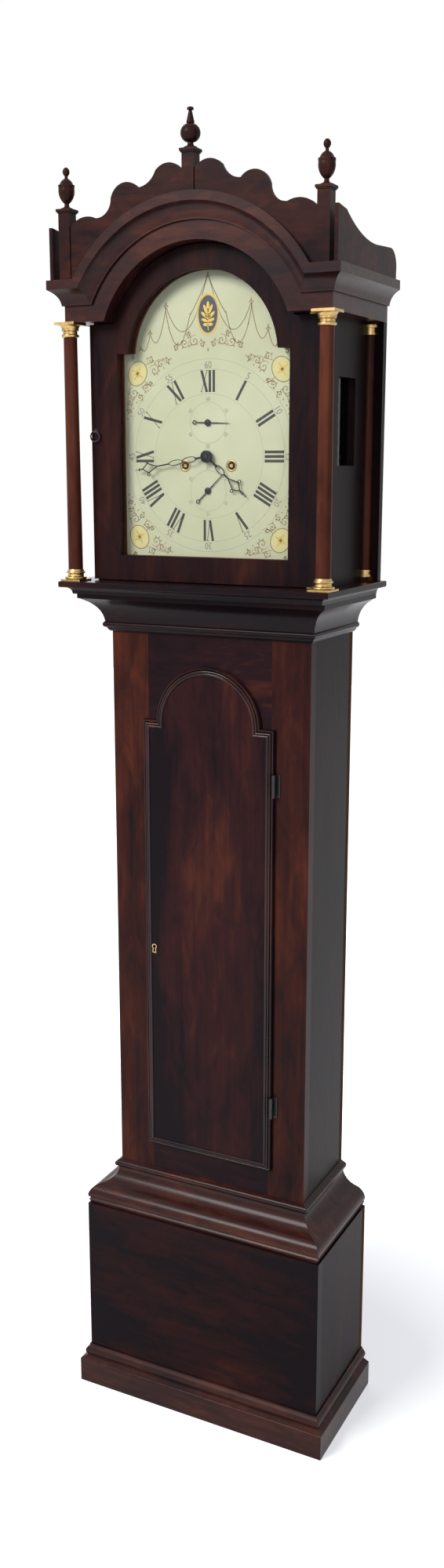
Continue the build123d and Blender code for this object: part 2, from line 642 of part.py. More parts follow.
def make_cornice():
    """Cavetto cornice: two returns, two short straights and the arch between them."""
    low = CORNICE_BOTTOM
    outline = [(0, low), (3.5, low), (3.5, low + 2), ((8, low + 13.5), (17.5, low + 22)),
               (20, low + 23.5), (20, CORNICE_TOP), (0, CORNICE_TOP)]
    front, right, left = mitred(outline, FRIEZE_HALF, FRIEZE_DEPTH, CORNICE_SIDE, CORNICE_FRONT)
    inner_x = sqrt(CORNICE_ARCH_R ** 2 - (CORNICE_BOTTOM - ARCH_Z) ** 2)
    outer_x = sqrt(CORNICE_TOP_R ** 2 - (CORNICE_TOP - ARCH_Z) ** 2)
    slope = (outer_x - inner_x) / CORNICE_H
    reach = BARREL_R * 3

    def at(z):
        return inner_x + slope * (z - CORNICE_BOTTOM)

    wedge = drawn((at(low - 5), low - 5), (reach, low - 5), (reach, CORNICE_TOP),
                  (at(CORNICE_TOP), CORNICE_TOP))
    wedge_solid = facing(wedge, FRIEZE_DEPTH - 1, FRIEZE_DEPTH + CORNICE_FRONT + 1)
    short_right = front & wedge_solid
    short_left = mirror(short_right, about=Plane.YZ)
    turned_steps = [turned_point(p) for p in stepped(outline, CORNICE_FRONT)]
    ring = spun(drawn(*turned_steps), 0, ARCH_Z)
    keep = drawn((-at(low), low), (at(low), low), (at(CORNICE_TOP), CORNICE_TOP),
                 (reach, CORNICE_TOP), (reach, reach * 4), (-reach, reach * 4),
                 (-reach, CORNICE_TOP), (-at(CORNICE_TOP), CORNICE_TOP))
    arch = ring & facing(keep, FRIEZE_DEPTH - 1, FRIEZE_DEPTH + CORNICE_FRONT + 1)
    save("cornice_mouldings", right, left, short_right, short_left, arch)


def turned_point(step):
    """Moves a cornice outline point from (reach, height) to (radius, depth)."""
    if isinstance(step[0], tuple):
        return (turned_point(step[0]), turned_point(step[1]))
    return (CORNICE_ARCH_R + step[1] - CORNICE_BOTTOM, FRIEZE_DEPTH + step[0])


def make_roof():
    """Flat roof boards and the barrel over the arch."""
    inner = roof_flat_inner()
    flat = board(inner, FRIEZE_HALF, 0, FRIEZE_BACK, ROOF_BOTTOM, ROOF_TOP)
    barrel = disc_above(BARREL_R, ROOF_TOP) - disc_above(BARREL_R - BARREL_T, ROOF_TOP - 1)
    save("hood_roof", *mirrored(flat), facing(barrel, 0, FRIEZE_BACK))


def make_cresting():
    """Scalloped boards that stand on the cornice, three lobes each side and one along each return."""
    half_w = PLINTH_W / 2
    left = -PLINTH_X + half_w
    foot_x = sqrt(CORNICE_TOP_R ** 2 - (CORNICE_TOP - ARCH_Z) ** 2)
    mid = radians(150)
    top = ARCH_Z + sqrt(CORNICE_TOP_R ** 2 - half_w ** 2)
    crest = drawn(
        (left, CORNICE_TOP), (left, CORNICE_TOP + 77),
        ((left + 27, CORNICE_TOP + 90.5), (left + 47, CORNICE_TOP + 87)),
        ((left + 67, CORNICE_TOP + 95), (left + 74, CORNICE_TOP + 113)),
        ((left + 96, CORNICE_TOP + 134), (left + 122, CORNICE_TOP + 125)),
        ((left + 142, CORNICE_TOP + 132.5), (left + 152, CORNICE_TOP + 146)),
        ((left + 174, CORNICE_TOP + 155.5), (-half_w, CORNICE_TOP + 143)),
        (-half_w, top),
        ((CORNICE_TOP_R * cos(mid) * 0.7, ARCH_Z + CORNICE_TOP_R * sqrt(1 - (cos(mid) * 0.7) ** 2)),
         (-foot_x, CORNICE_TOP)))
    d0 = CREST_DEPTH - CREST_T / 2
    front = facing(crest, d0, d0 + CREST_T)
    back_end = 3.0
    front_end = FRIEZE_DEPTH + CORNICE_FRONT - 3.5
    wave = drawn(
        (front_end, CORNICE_TOP), (front_end, CORNICE_TOP + 77.5), (front_end - 31, CORNICE_TOP + 73.5),
        ((front_end - 80, CORNICE_TOP + 52), (front_end - 152, CORNICE_TOP + 41.5)),
        (back_end + 28, CORNICE_TOP + 45),
        ((back_end + 7, CORNICE_TOP + 37), (back_end, CORNICE_TOP + 14)), (back_end, CORNICE_TOP))
    side = running(wave, CREST_SIDE_X - CREST_T / 2, CREST_SIDE_X + CREST_T / 2)
    save("roof_cresting", *mirrored(front), *mirrored(side))


def plinth_block(x, bottom, top):
    """Square post with a moulded cap."""
    half = PLINTH_W / 2
    cap = PLINTH_CAP_W / 2
    post = board(x - half, x + half, PLINTH_DEPTH - half, PLINTH_DEPTH + half, bottom, top - PLINTH_CAP_H)
    neck = top - PLINTH_CAP_H
    wide = (half + cap) / 2
    post += board(x - wide, x + wide, PLINTH_DEPTH - wide, PLINTH_DEPTH + wide, neck, neck + 2)
    return post + board(x - cap, x + cap, PLINTH_DEPTH - cap, PLINTH_DEPTH + cap, neck + 2, top)


def make_finials():
    """Posts at the corners and the crown, with turned wooden finials."""
    centre = plinth_block(0, ARCH_Z, CENTRE_PLINTH_TOP)
    centre -= rod_d(CORNICE_TOP_R, 0, ARCH_Z, 0, HOOD_NOSE_DEPTH * 2)
    save("finial_plinths", *mirrored(plinth_block(PLINTH_X, CORNICE_TOP, SIDE_PLINTH_TOP)), centre)
    r = SIDE_FINIAL_R
    h = SIDE_FINIAL_H
    z = SIDE_PLINTH_TOP
    urn = drawn(
        (0, z), (0.7 * r, z), (0.7 * r, z + 0.03 * h), ((0.35 * r, z + 0.07 * h), (0.3 * r, z + 0.14 * h)),
        ((0.86 * r, z + 0.3 * h), (0.97 * r, z + 0.5 * h)), (r, z + 0.54 * h), (r, z + 0.58 * h),
        (0.82 * r, z + 0.6 * h), ((0.55 * r, z + 0.69 * h), (0.2 * r, z + 0.74 * h)),
        (0.2 * r, z + 0.8 * h), ((0.43 * r, z + 0.9 * h), (0.14 * r, z + h)), (0, z + h))
    r = CENTRE_FINIAL_R
    h = CENTRE_FINIAL_H
    z = CENTRE_PLINTH_TOP
    spire = drawn(
        (0, z), (0.66 * r, z), (0.66 * r, z + 0.04 * h), ((0.36 * r, z + 0.08 * h), (0.3 * r, z + 0.15 * h)),
        ((r, z + 0.38 * h), (0.34 * r, z + 0.6 * h)), (0.4 * r, z + 0.62 * h),
        (0.4 * r, z + 0.65 * h), (0.16 * r, z + 0.92 * h), (0.33 * r, z + 0.93 * h),
        (0.33 * r, z + 0.98 * h), (0.2 * r, z + h), (0, z + h))
    save("finials", *mirrored(turned(urn, PLINTH_X, PLINTH_DEPTH)), turned(spire, 0, PLINTH_DEPTH))


def brass_base(x, depth):
    """Column base: square plate under two round mouldings."""
    z = HOOD_BASE_TOP
    r = COLUMN_R
    plate = COLUMN_PLATE / 2
    h = BASE_BRASS_H
    rings = drawn(
        (0, z + 3), (1.34 * r, z + 3), ((1.5 * r, z + 0.26 * h), (1.34 * r, z + 0.37 * h)),
        (1.15 * r, z + 0.4 * h), ((1.08 * r, z + 0.53 * h), (1.15 * r, z + 0.65 * h)),
        ((1.3 * r, z + 0.73 * h), (1.15 * r, z + 0.82 * h)), (1.04 * r, z + h), (0, z + h))
    return board(x - plate, x + plate, depth - plate, depth + plate, z, z + 3) + turned(rings, x, depth)


def brass_cap(x, depth):
    """Column capital: rings that spread to a square plate."""
    z = FRIEZE_BOTTOM
    r = COLUMN_R * COLUMN_TAPER
    plate = COLUMN_PLATE / 2
    h = CAP_BRASS_H
    rings = drawn(
        (0, z - h), (1.06 * r, z - h), ((1.3 * r, z - 0.88 * h), (1.06 * r, z - 0.76 * h)),
        (1.06 * r, z - 0.6 * h), (1.25 * r, z - 0.55 * h), (1.25 * r, z - 0.46 * h),
        ((1.32 * r, z - 0.32 * h), (1.62 * r, z - 4)), (0, z - 4))
    return board(x - plate, x + plate, depth - plate, depth + plate, z - 4, z) + turned(rings, x, depth)


def make_columns():
    """Free columns at the front and quarter columns at the back, with brass mounts."""
    z0 = HOOD_BASE_TOP + BASE_BRASS_H
    z1 = FRIEZE_BOTTOM - CAP_BRASS_H
    shaft = drawn((0, z0), (COLUMN_R, z0), (COLUMN_R * COLUMN_TAPER, z1), (0, z1))
    front = turned(shaft, COLUMN_X, COLUMN_DEPTH)
    corner_x = HOOD_SIDE_HALF
    corner_d = FLANGE_T
    reach = QUARTER_BLOCK

    def quarter(r, low, high):
        square = board(corner_x, corner_x + reach, corner_d, corner_d + reach, low, high)
        return rod_z(r, corner_x, corner_d, low, high) & square

    block = board(corner_x, corner_x + reach, corner_d, corner_d + reach, HOOD_BASE_TOP, HOOD_BASE_TOP + 7)
    top = board(corner_x, corner_x + reach, corner_d, corner_d + reach, FRIEZE_BOTTOM - 4, FRIEZE_BOTTOM)
    back = quarter(QUARTER_R, HOOD_BASE_TOP + 7, FRIEZE_BOTTOM - 4) + block + top
    save("hood_columns", *mirrored(front), *mirrored(back))
    low = HOOD_BASE_TOP + 7
    high = FRIEZE_BOTTOM - 4
    bottom_ring = (quarter(QUARTER_R + 4, low, low + 4) + quarter(QUARTER_R + 2, low + 4, low + 8)
                   + quarter(QUARTER_R + 3, low + 8, low + 11)) - quarter(QUARTER_R, low - 1, low + 12)
    top_ring = (quarter(QUARTER_R + 3, high - 15, high - 12) + quarter(QUARTER_R + 1.5, high - 12, high - 4)
                + quarter(QUARTER_R + 5, high - 4, high)) - quarter(QUARTER_R, high - 16, high + 1)
    save("column_brasses", *mirrored(brass_base(COLUMN_X, COLUMN_DEPTH)),
         *mirrored(brass_cap(COLUMN_X, COLUMN_DEPTH)), *mirrored(bottom_ring), *mirrored(top_ring))


# Hood door
def make_hood_door():
    """Break-arch glazed door on pin hinges at its right edge."""
    d0 = HOOD_DOOR_BACK
    d1 = HOOD_DOOR_FACE
    glass = arched(SIGHT_HALF + REBATE, SIGHT_BOTTOM - REBATE, SIGHT_SHOULDER + REBATE,
                   SIGHT_ARCH_R + REBATE)
    pocket = facing(glass, d0 - 1, GLASS_D0 + GLASS_T)
    stile = board(SIGHT_HALF, HOOD_DOOR_HALF, d0, d1, HOOD_DOOR_BOTTOM, HOOD_DOOR_TOP) - pocket
    left = board(-HOOD_DOOR_HALF, -SIGHT_HALF, d0, d1, HOOD_DOOR_BOTTOM, HOOD_DOOR_TOP) - pocket
    top_z0 = HOOD_DOOR_TOP - LEAF_T
    low_z1 = HOOD_DOOR_BOTTOM + LEAF_T
    pivots = []
    for z0, z1, pin0, pin1 in ((HOOD_DOOR_BOTTOM, low_z1, HOOD_BASE_TOP - PIVOT_LONG, low_z1),
                               (top_z0, HOOD_DOOR_TOP, top_z0, FRIEZE_BOTTOM + PIVOT_LONG - 2)):
        leaf = board(PIVOT_X - 9, PIVOT_X + PIVOT_R + 1, d1 - 12, PIVOT_DEPTH, z0, z1)
        leaf += rod_z(PIVOT_R + 1, PIVOT_X, PIVOT_DEPTH, z0, z1)
        stile -= leaf
        pivots.append(leaf + rod_z(PIVOT_R, PIVOT_X, PIVOT_DEPTH, pin0, pin1))
    save("hood_door_stiles", stile, left)
    save("hood_door_pivots", *pivots)
    low = board(-SIGHT_HALF, SIGHT_HALF, d0, d1, HOOD_DOOR_BOTTOM, SIGHT_BOTTOM) - pocket
    arch = rect(-SIGHT_HALF, SIGHT_HALF, SIGHT_SHOULDER, HOOD_DOOR_TOP)
    arch += disc_above(HOOD_DOOR_R, HOOD_DOOR_TOP)
    arch -= disc_above(SIGHT_ARCH_R, SIGHT_SHOULDER - 1)
    save("hood_door_rails", facing(arch, d0, d1) - pocket, low)
    save("hood_glass", facing(glass, GLASS_D0, GLASS_D0 + GLASS_T))
    post = rod_d(2.0, PULL_X, PULL_Z + 8, d1, d1 + 5) + rod_d(4.5, PULL_X, PULL_Z + 8, d1, d1 + 1)
    ring = Pos(PULL_X, BACK_Y - d1 - 4, PULL_Z) * Rot(90, 0, 0) * Torus(8.0, 1.2)
    save("hood_door_pull", post + ring)


# Dial, hands and motion
def make_dial():
    """Painted iron dial with its feet, and the pillars that hold the plates apart."""
    outline = arched(DIAL_HALF, DIAL_BOTTOM, DIAL_SHOULDER, DIAL_ARCH_R)
    dial = facing(outline, DIAL_BACK, DIAL_FACE)
    dial -= rod_d(6.5, 0, DIAL_Z, DIAL_BACK - 1, DIAL_FACE + 1)
    for x in (WIND_X, -WIND_X):
        dial -= rod_d(6.0, x, WIND_Z, DIAL_BACK - 1, DIAL_FACE + 1)
    for z in (SECONDS_Z, DATE_Z):
        dial -= rod_d(2.2, 0, z, DIAL_BACK - 1, DIAL_FACE + 1)
    save("dial_plate", dial)
    pieces = []
    for x in (PLATE_HALF - 9, -PLATE_HALF + 9):
        for z in (SEAT_TOP + 12, PLATE_TOP - 12):
            pieces.append(rod_d(PILLAR_R, x, z, BACK_PLATE1, FRONT_PLATE0))
    for x in (PLATE_HALF - 22, -PLATE_HALF + 22):
        for z in (SEAT_TOP + 10, PLATE_TOP - 10):
            pieces.append(rod_d(FOOT_R, x, z, FRONT_PLATE1, DIAL_BACK))
    save("pillars_and_dial_feet", *pieces)


def loop(y0, y1, width, wire):
    """Pierced oval between two distances along a hand."""
    outer = Ellipse(width, (y1 - y0) / 2)
    inner = Ellipse(width - wire, (y1 - y0) / 2 - wire)
    return Pos(0, (y0 + y1) / 2) * (outer - inner)


def stem(y0, y1, w0, w1):
    """Tapering bar between two distances along a hand."""
    return make_face(Polyline((-w0 / 2, y0), (w0 / 2, y0), (w1 / 2, y1), (-w1 / 2, y1), close=True))


def matching_head(start, long, wire):
    """Lozenge with a curl each side, then the pointed tip."""
    span = long - start
    wide = 8.5
    side = start + 0.42 * span
    top = start + 0.68 * span
    outer = make_face(Polyline((0, start - 1), (wide, side), (0, top), (-wide, side), close=True))
    inner = make_face(Polyline((0, start + 2 * wire), (wide - 1.6 * wire, side), (0, top - 2 * wire),
                               (-wide + 1.6 * wire, side), close=True))
    head = outer - inner + stem(top - 2, long, 2.4, 0.5)
    for x in (wide + 1.6, -wide - 1.6):
        head += Pos(x, side) * (Circle(2.8) - Circle(2.8 - wire * 0.8))
    head += Pos(0, top + 0.12 * span) * Rectangle(5.0, wire)
    return head


def hand_face(sketch, angle, z):
    """Turns a hand clockwise from twelve and moves it to its centre."""
    return Pos(0, z) * Rot(0, 0, -angle) * sketch


def make_hands():
    """Pierced hour and minute hands, the seconds hand and the date hand."""
    wire = 1.2
    hour = Circle(HUB_R) + stem(HUB_R - 1, 24, 3.2, 3.2) + loop(20, 41, 5.0, wire)
    hour += stem(40, 50, 2.4, 1.8) + matching_head(49, HOUR_LONG, wire)
    hour_body = facing(hand_face(hour, HOUR_ANGLE, DIAL_Z), HOUR_DEPTH, HOUR_DEPTH + HAND_T)
    hour_body += rod_d(5.0, 0, DIAL_Z, FRONT_PLATE1 + 5, HOUR_DEPTH + HAND_T)
    hour_body += facing(Pos(0, DIAL_Z) * toothed(72, 24.0, 22.6), FRONT_PLATE1 + 5, FRONT_PLATE1 + 7)
    cannon_r = 3.2
    hour_body -= rod_d(cannon_r + RUN, 0, DIAL_Z, FRONT_PLATE1, HOUR_DEPTH + 5)
    save("hour_hand", hour_body)

    minute = Circle(HUB_R) + stem(HUB_R - 1, 20, 3.2, 3.0) + loop(17, 43, 5.0, wire)
    minute += loop(42, 68, 4.4, wire) + stem(67, 90, 2.2, 1.8) + matching_head(89, MINUTE_LONG, wire)
    minute_body = facing(hand_face(minute, MINUTE_ANGLE, DIAL_Z), MINUTE_DEPTH, MINUTE_DEPTH + HAND_T)
    minute_body += rod_d(cannon_r, 0, DIAL_Z, FRONT_PLATE1 + 1.0, MINUTE_DEPTH + HAND_T)
    minute_body += rod_d(6.0, 0, DIAL_Z, MINUTE_DEPTH, MINUTE_DEPTH + HAND_T + 0.8)
    minute_body -= rod_d(PIVOT_SMALL_R + RUN, 0, DIAL_Z, FRONT_PLATE1, MINUTE_DEPTH + 5)
    save("minute_hand", minute_body)

    small = Circle(SMALL_HUB_R) + Pos(0, -SECONDS_TAIL) * (Circle(3.4) - Circle(2.2))
    seconds = small + stem(3, SECONDS_LONG, 1.8, 0.8) + stem(-SECONDS_TAIL + 2.6, -3, 1.4, 1.8)
    body = facing(hand_face(seconds, SECONDS_ANGLE, SECONDS_Z), SEAT_HAND_DEPTH, SEAT_HAND_DEPTH + 0.8)
    save("seconds_hand", body - rod_d(1.0, 0, SECONDS_Z, SEAT_HAND_DEPTH - 1, SEAT_HAND_DEPTH + 3))
    date = Circle(SMALL_HUB_R) + Pos(0, -DATE_TAIL) * (Circle(3.4) - Circle(2.2))
    date += stem(3, DATE_LONG, 1.8, 0.8) + stem(-DATE_TAIL + 2.6, -3, 1.4, 1.8)
    body = facing(hand_face(date, DATE_ANGLE, DATE_Z), SEAT_HAND_DEPTH, SEAT_HAND_DEPTH + 0.8)
    body += rod_d(1.5, 0, DATE_Z, FRONT_PLATE0, SEAT_HAND_DEPTH + 0.8)
    star = Pos(0, DATE_Z) * toothed(31, 22.0, 18.5)
    body += facing(star, DIAL_BACK - 8, DIAL_BACK - 6.5)
    save("date_hand", body)


# Movement
def line_places(side):
    """X of a line's falling lead and of its fixed end; side 1 is the going train."""
    lead = side * WIND_X - LINE_OUT
    if side > 0:
        return lead, lead + 2 * PULLEY_REACH
    return lead, lead - 2 * PULLEY_REACH


def make_plates():
    """Two brass plates with a hole for every pivot."""
    plates = []
    for d0, front in ((BACK_PLATE0, False), (FRONT_PLATE0, True)):
        d1 = d0 + PLATE_T
        plate = board(-PLATE_HALF, PLATE_HALF, d0, d1, SEAT_TOP, PLATE_TOP)
        holes = [(PIVOT_SMALL_R, 0, DIAL_Z), (PIVOT_SMALL_R, THIRD_X, THIRD_Z),
                 (PIVOT_SMALL_R, 0, SECONDS_Z), (PIVOT_SMALL_R, HAMMER_X, HAMMER_Z)]
        wind = WINDING_ARBOR_R if front else ARBOR_R
        holes += [(wind, WIND_X, WIND_Z), (wind, -WIND_X, WIND_Z)]
        holes.append((PIVOT_SMALL_R if front else 5.0, 0, PALLET_Z))
        if front:
            holes.append((1.5, 0, DATE_Z))
        for r, x, z in holes:
            plate -= rod_d(r + RUN, x, z, d0 - 1, d1 + 1)
        plates.append(plate)
    save("movement_plates", *plates)


def make_barrels():
    """Winding drums on their arbors, each with a squared end behind the dial hole."""
    for name, x, far in (("going_barrel", WIND_X, GREAT_D), ("strike_barrel", -WIND_X, STRIKE_WHEEL_D)):
        edge = DRUM_R + 3.0
        drum = drawn(
            (0, DRUM_D0), (edge, DRUM_D0), (edge, DRUM_D0 + 2), (DRUM_R, DRUM_D0 + 2),
            (DRUM_R, DRUM_D1 - 2), (edge, DRUM_D1 - 2), (edge, DRUM_D1), (0, DRUM_D1))
        body = spun(drum, x, WIND_Z)
        body += rod_d(WINDING_ARBOR_R, x, WIND_Z, DRUM_D1 - 1, FRONT_PLATE1 + 3)
        body += rod_d(ARBOR_R, x, WIND_Z, BACK_PLATE0, DRUM_D0 + 1)
        half = WINDING_ARBOR_R * 0.68
        body += board(x - half, x + half, FRONT_PLATE1 + 2, DIAL_FACE + 0.8, WIND_Z - half, WIND_Z + half)
        washer = far + WHEEL_T + FACE_GAP
        body += rod_d(WINDING_ARBOR_R + 3, x, WIND_Z, washer, washer + 1.6)
        save(name, body)


def make_going_train():
    """Great, centre, third and escape wheels on their arbors."""
    for name, x, d in (("going_great_wheel", WIND_X, GREAT_D), ("strike_great_wheel", -WIND_X, STRIKE_WHEEL_D)):
        wheel = Pos(x, WIND_Z) * crossed_wheel(GREAT_TEETH, GREAT_R, 1.8, 10.0, 6.0)
        solid = facing(wheel, d, d + WHEEL_T)
        save(name, solid - rod_d(WINDING_ARBOR_R + RUN, x, WIND_Z, d - 1, d + WHEEL_T + 1))

    reach = sqrt(WIND_X ** 2 + WIND_DROP ** 2)
    pinion = reach - GREAT_R - MESH_GAP
    centre = facing(Pos(0, DIAL_Z) * crossed_wheel(CENTRE_TEETH, CENTRE_R, 1.6, 7.0, 5.0),
                    CENTRE_D, CENTRE_D + THIN_WHEEL_T)
    centre += facing(Pos(0, DIAL_Z) * toothed(PINION_LEAVES, pinion, pinion * 0.7), GREAT_D - 1, CENTRE_D + 0.5)
    centre += rod_d(PIVOT_SMALL_R, 0, DIAL_Z, BACK_PLATE0, MINUTE_DEPTH + HAND_T + 1.6)
    save("centre_wheel", centre)

    reach = sqrt(THIRD_X ** 2 + THIRD_UP ** 2)
    pinion = reach - CENTRE_R - MESH_GAP
    third = facing(Pos(THIRD_X, THIRD_Z) * crossed_wheel(THIRD_TEETH, THIRD_R, 1.6, 6.0, 4.0),
                   THIRD_D, THIRD_D + THIN_WHEEL_T)
    third += facing(Pos(THIRD_X, THIRD_Z) * toothed(PINION_LEAVES, pinion, pinion * 0.7),
                    CENTRE_D - 2, CENTRE_D + THIN_WHEEL_T + 2)
    third += rod_d(PIVOT_SMALL_R, THIRD_X, THIRD_Z, BACK_PLATE0, FRONT_PLATE1)
    save("third_wheel", third)

    reach = sqrt(THIRD_X ** 2 + (SUBDIAL_UP - THIRD_UP) ** 2)
    pinion = reach - THIRD_R - MESH_GAP
    escape = facing(Pos(0, SECONDS_Z) * crossed_wheel(ESCAPE_TEETH, ESCAPE_R, 2.6, 5.0, 3.0),
                    ESCAPE_D, ESCAPE_D + THIN_WHEEL_T)
    escape += facing(Pos(0, SECONDS_Z) * toothed(ESCAPE_LEAVES, pinion, pinion * 0.7),
                     THIRD_D - 2, THIRD_D + THIN_WHEEL_T + 2)
    escape += rod_d(PIVOT_SMALL_R, 0, SECONDS_Z, BACK_PLATE0, FRONT_PLATE1 + 2)
    escape += rod_d(1.0, 0, SECONDS_Z, FRONT_PLATE1, SEAT_HAND_DEPTH + 1.6)
    save("escape_wheel", escape)


def make_anchor():
    """Recoil anchor over the escape wheel, with the crutch behind the back plate."""
    drop = PALLET_Z - SECONDS_Z
    swing_room = ESCAPE_R + PALLET_ROOM
    span = 11.5
    level = PALLET_Z - drop + sqrt(swing_room ** 2 - span ** 2)
    arms = drawn(
        (-3, PALLET_Z + 4), (3, PALLET_Z + 4), ((12, PALLET_Z - 1), (span + 5, level + 1)),
        (span + 3.5, level - 2), (span + 0.6, level + 0.6), ((8.5, PALLET_Z - 4.5), (0, PALLET_Z - 4)),
        ((-8.5, PALLET_Z - 4.5), (-span - 0.6, level + 0.6)), (-span - 3.5, level - 2),
        (-span - 5, level + 1), ((-12, PALLET_Z - 1), (-3, PALLET_Z + 4)))
    anchor = facing(arms, ESCAPE_D - 2, ESCAPE_D + 3.5)
    anchor += rod_d(PIVOT_SMALL_R, 0, PALLET_Z, COCK_DEPTH - 4, FRONT_PLATE1)
    crutch_d = BACK_PLATE0 - 8
    fork_z = PALLET_Z - 120
    anchor += board(-1.5, 1.5, crutch_d - 1.5, crutch_d + 1.5, fork_z, PALLET_Z)
    anchor += board(-6, 6, crutch_d - 1.5, crutch_d + 1.5, fork_z - 4, fork_z + 1)
    for x in (-5.0, 5.0):
        anchor += board(x - 1, x + 1, PENDULUM_DEPTH - 4, crutch_d + 1.5, fork_z - 4, fork_z)
    save("anchor_and_crutch", anchor)


def make_back_cock():
    """Bracket on the back plate that holds the anchor arbor and hangs the pendulum."""
    d0 = COCK_DEPTH - 4
    top = PLATE_TOP + 2
    bridge = board(-24, 24, d0, COCK_DEPTH, PALLET_Z - 12, top)
    bridge -= rod_d(PIVOT_SMALL_R + RUN, 0, PALLET_Z, d0 - 1, COCK_DEPTH + 1)
    for x in (-20, 20):
        bridge += board(x - 4, x + 4, COCK_DEPTH - 1, BACK_PLATE0, PALLET_Z - 12, PALLET_Z + 6)
    bridge += board(-8, 8, PENDULUM_DEPTH - 8, d0 + 1, top - 6, top)
    bridge -= board(-2.2, 2.2, PENDULUM_DEPTH - 9, PENDULUM_DEPTH + 5, top - 7, top + 1)
    save("back_cock", bridge)
    return top


def make_pendulum(cock_top):
    """Suspension block and spring, rod, lens-shaped bob and rating nut."""
    y = BACK_Y - PENDULUM_DEPTH
    bob_z = PALLET_Z - PENDULUM_LONG
    foot = bob_z - BOB_R
    rod = Pos(0, y, cock_top + 3.5) * Box(10, 8, 6)
    rod += Pos(0, y, (cock_top + 0.6 + PALLET_Z - 16) / 2) * Box(0.6, 7, cock_top + 0.6 - PALLET_Z + 16)
    rod += rod_z(ROD_R, 0, PENDULUM_DEPTH, foot - NUT_H - 14, PALLET_Z - 12)
    nut = rod_z(NUT_R, 0, PENDULUM_DEPTH, foot - NUT_H, foot)
    nut -= rod_z(ROD_R + RUN, 0, PENDULUM_DEPTH, foot - NUT_H - 1, foot + 1)
    save("pendulum_rod", rod, nut)
    half = BOB_T / 2
    lens = drawn((0, PENDULUM_DEPTH - half), ((BOB_R * 0.6, PENDULUM_DEPTH - half * 0.72),
                                              (BOB_R, PENDULUM_DEPTH - 1.5)),
                 (BOB_R, PENDULUM_DEPTH + 1.5),
                 ((BOB_R * 0.6, PENDULUM_DEPTH + half * 0.72), (0, PENDULUM_DEPTH + half)))
    bob = spun(lens, 0, bob_z)
    bob -= rod_z(ROD_R + RUN, 0, PENDULUM_DEPTH, foot - 5, bob_z + BOB_R + 5)
    save("pendulum_bob", bob)


def make_bell():
    """Bell on its post, and the hammer that strikes its rim."""
    z = BELL_MOUTH
    r = BELL_R
    t = BELL_T
    h = BELL_H
    cup = drawn(
        (r - t, z), (r, z), ((r * 0.88, z + 0.62 * h), (r * 0.5, z + h)), (4.2, z + h),
        (4.2, z + h - t), (r * 0.5, z + h - t), ((r * 0.88 - t, z + 0.62 * h - t * 0.6), (r - t, z)))
    bell = turned(cup, BELL_X, BELL_DEPTH)
    arm_z = PLATE_TOP + 3
    post = rod_z(4.0, BELL_X, BELL_DEPTH, arm_z, z + h + 3)
    post += rod_z(7.0, BELL_X, BELL_DEPTH, z + h - t - 3, z + h - t)
    post += rod_z(6.0, BELL_X, BELL_DEPTH, z + h, z + h + 3)
    post += board(BELL_X - 5, BELL_X + 5, BACK_PLATE0 - 4, BELL_DEPTH + 5, arm_z, arm_z + 4)
    post += board(BELL_X - 5, BELL_X + 5, BACK_PLATE0 - 4, BACK_PLATE0, arm_z - 24, arm_z + 4)
    save("bell", bell, post)

    head_x = BELL_X - BELL_R - HAMMER_GAP - HAMMER_R
    head_z = z + 5
    hammer = rod_d(PIVOT_SMALL_R, HAMMER_X, HAMMER_Z, BACK_PLATE0, FRONT_PLATE1)
    hammer += rod_d(4.0, HAMMER_X, HAMMER_Z, BELL_DEPTH - 5, BELL_DEPTH + 5)
    hammer += board(head_x - 1.5, HAMMER_X + 1, BELL_DEPTH - 2, BELL_DEPTH + 2, HAMMER_Z - 2, HAMMER_Z + 2)
    hammer += board(head_x - 1.5, head_x + 1.5, BELL_DEPTH - 2, BELL_DEPTH + 2, HAMMER_Z - 2, head_z)
    hammer += rod_x(HAMMER_R, BELL_DEPTH, head_z, head_x - HAMMER_R, head_x + HAMMER_R)
    save("hammer", hammer)


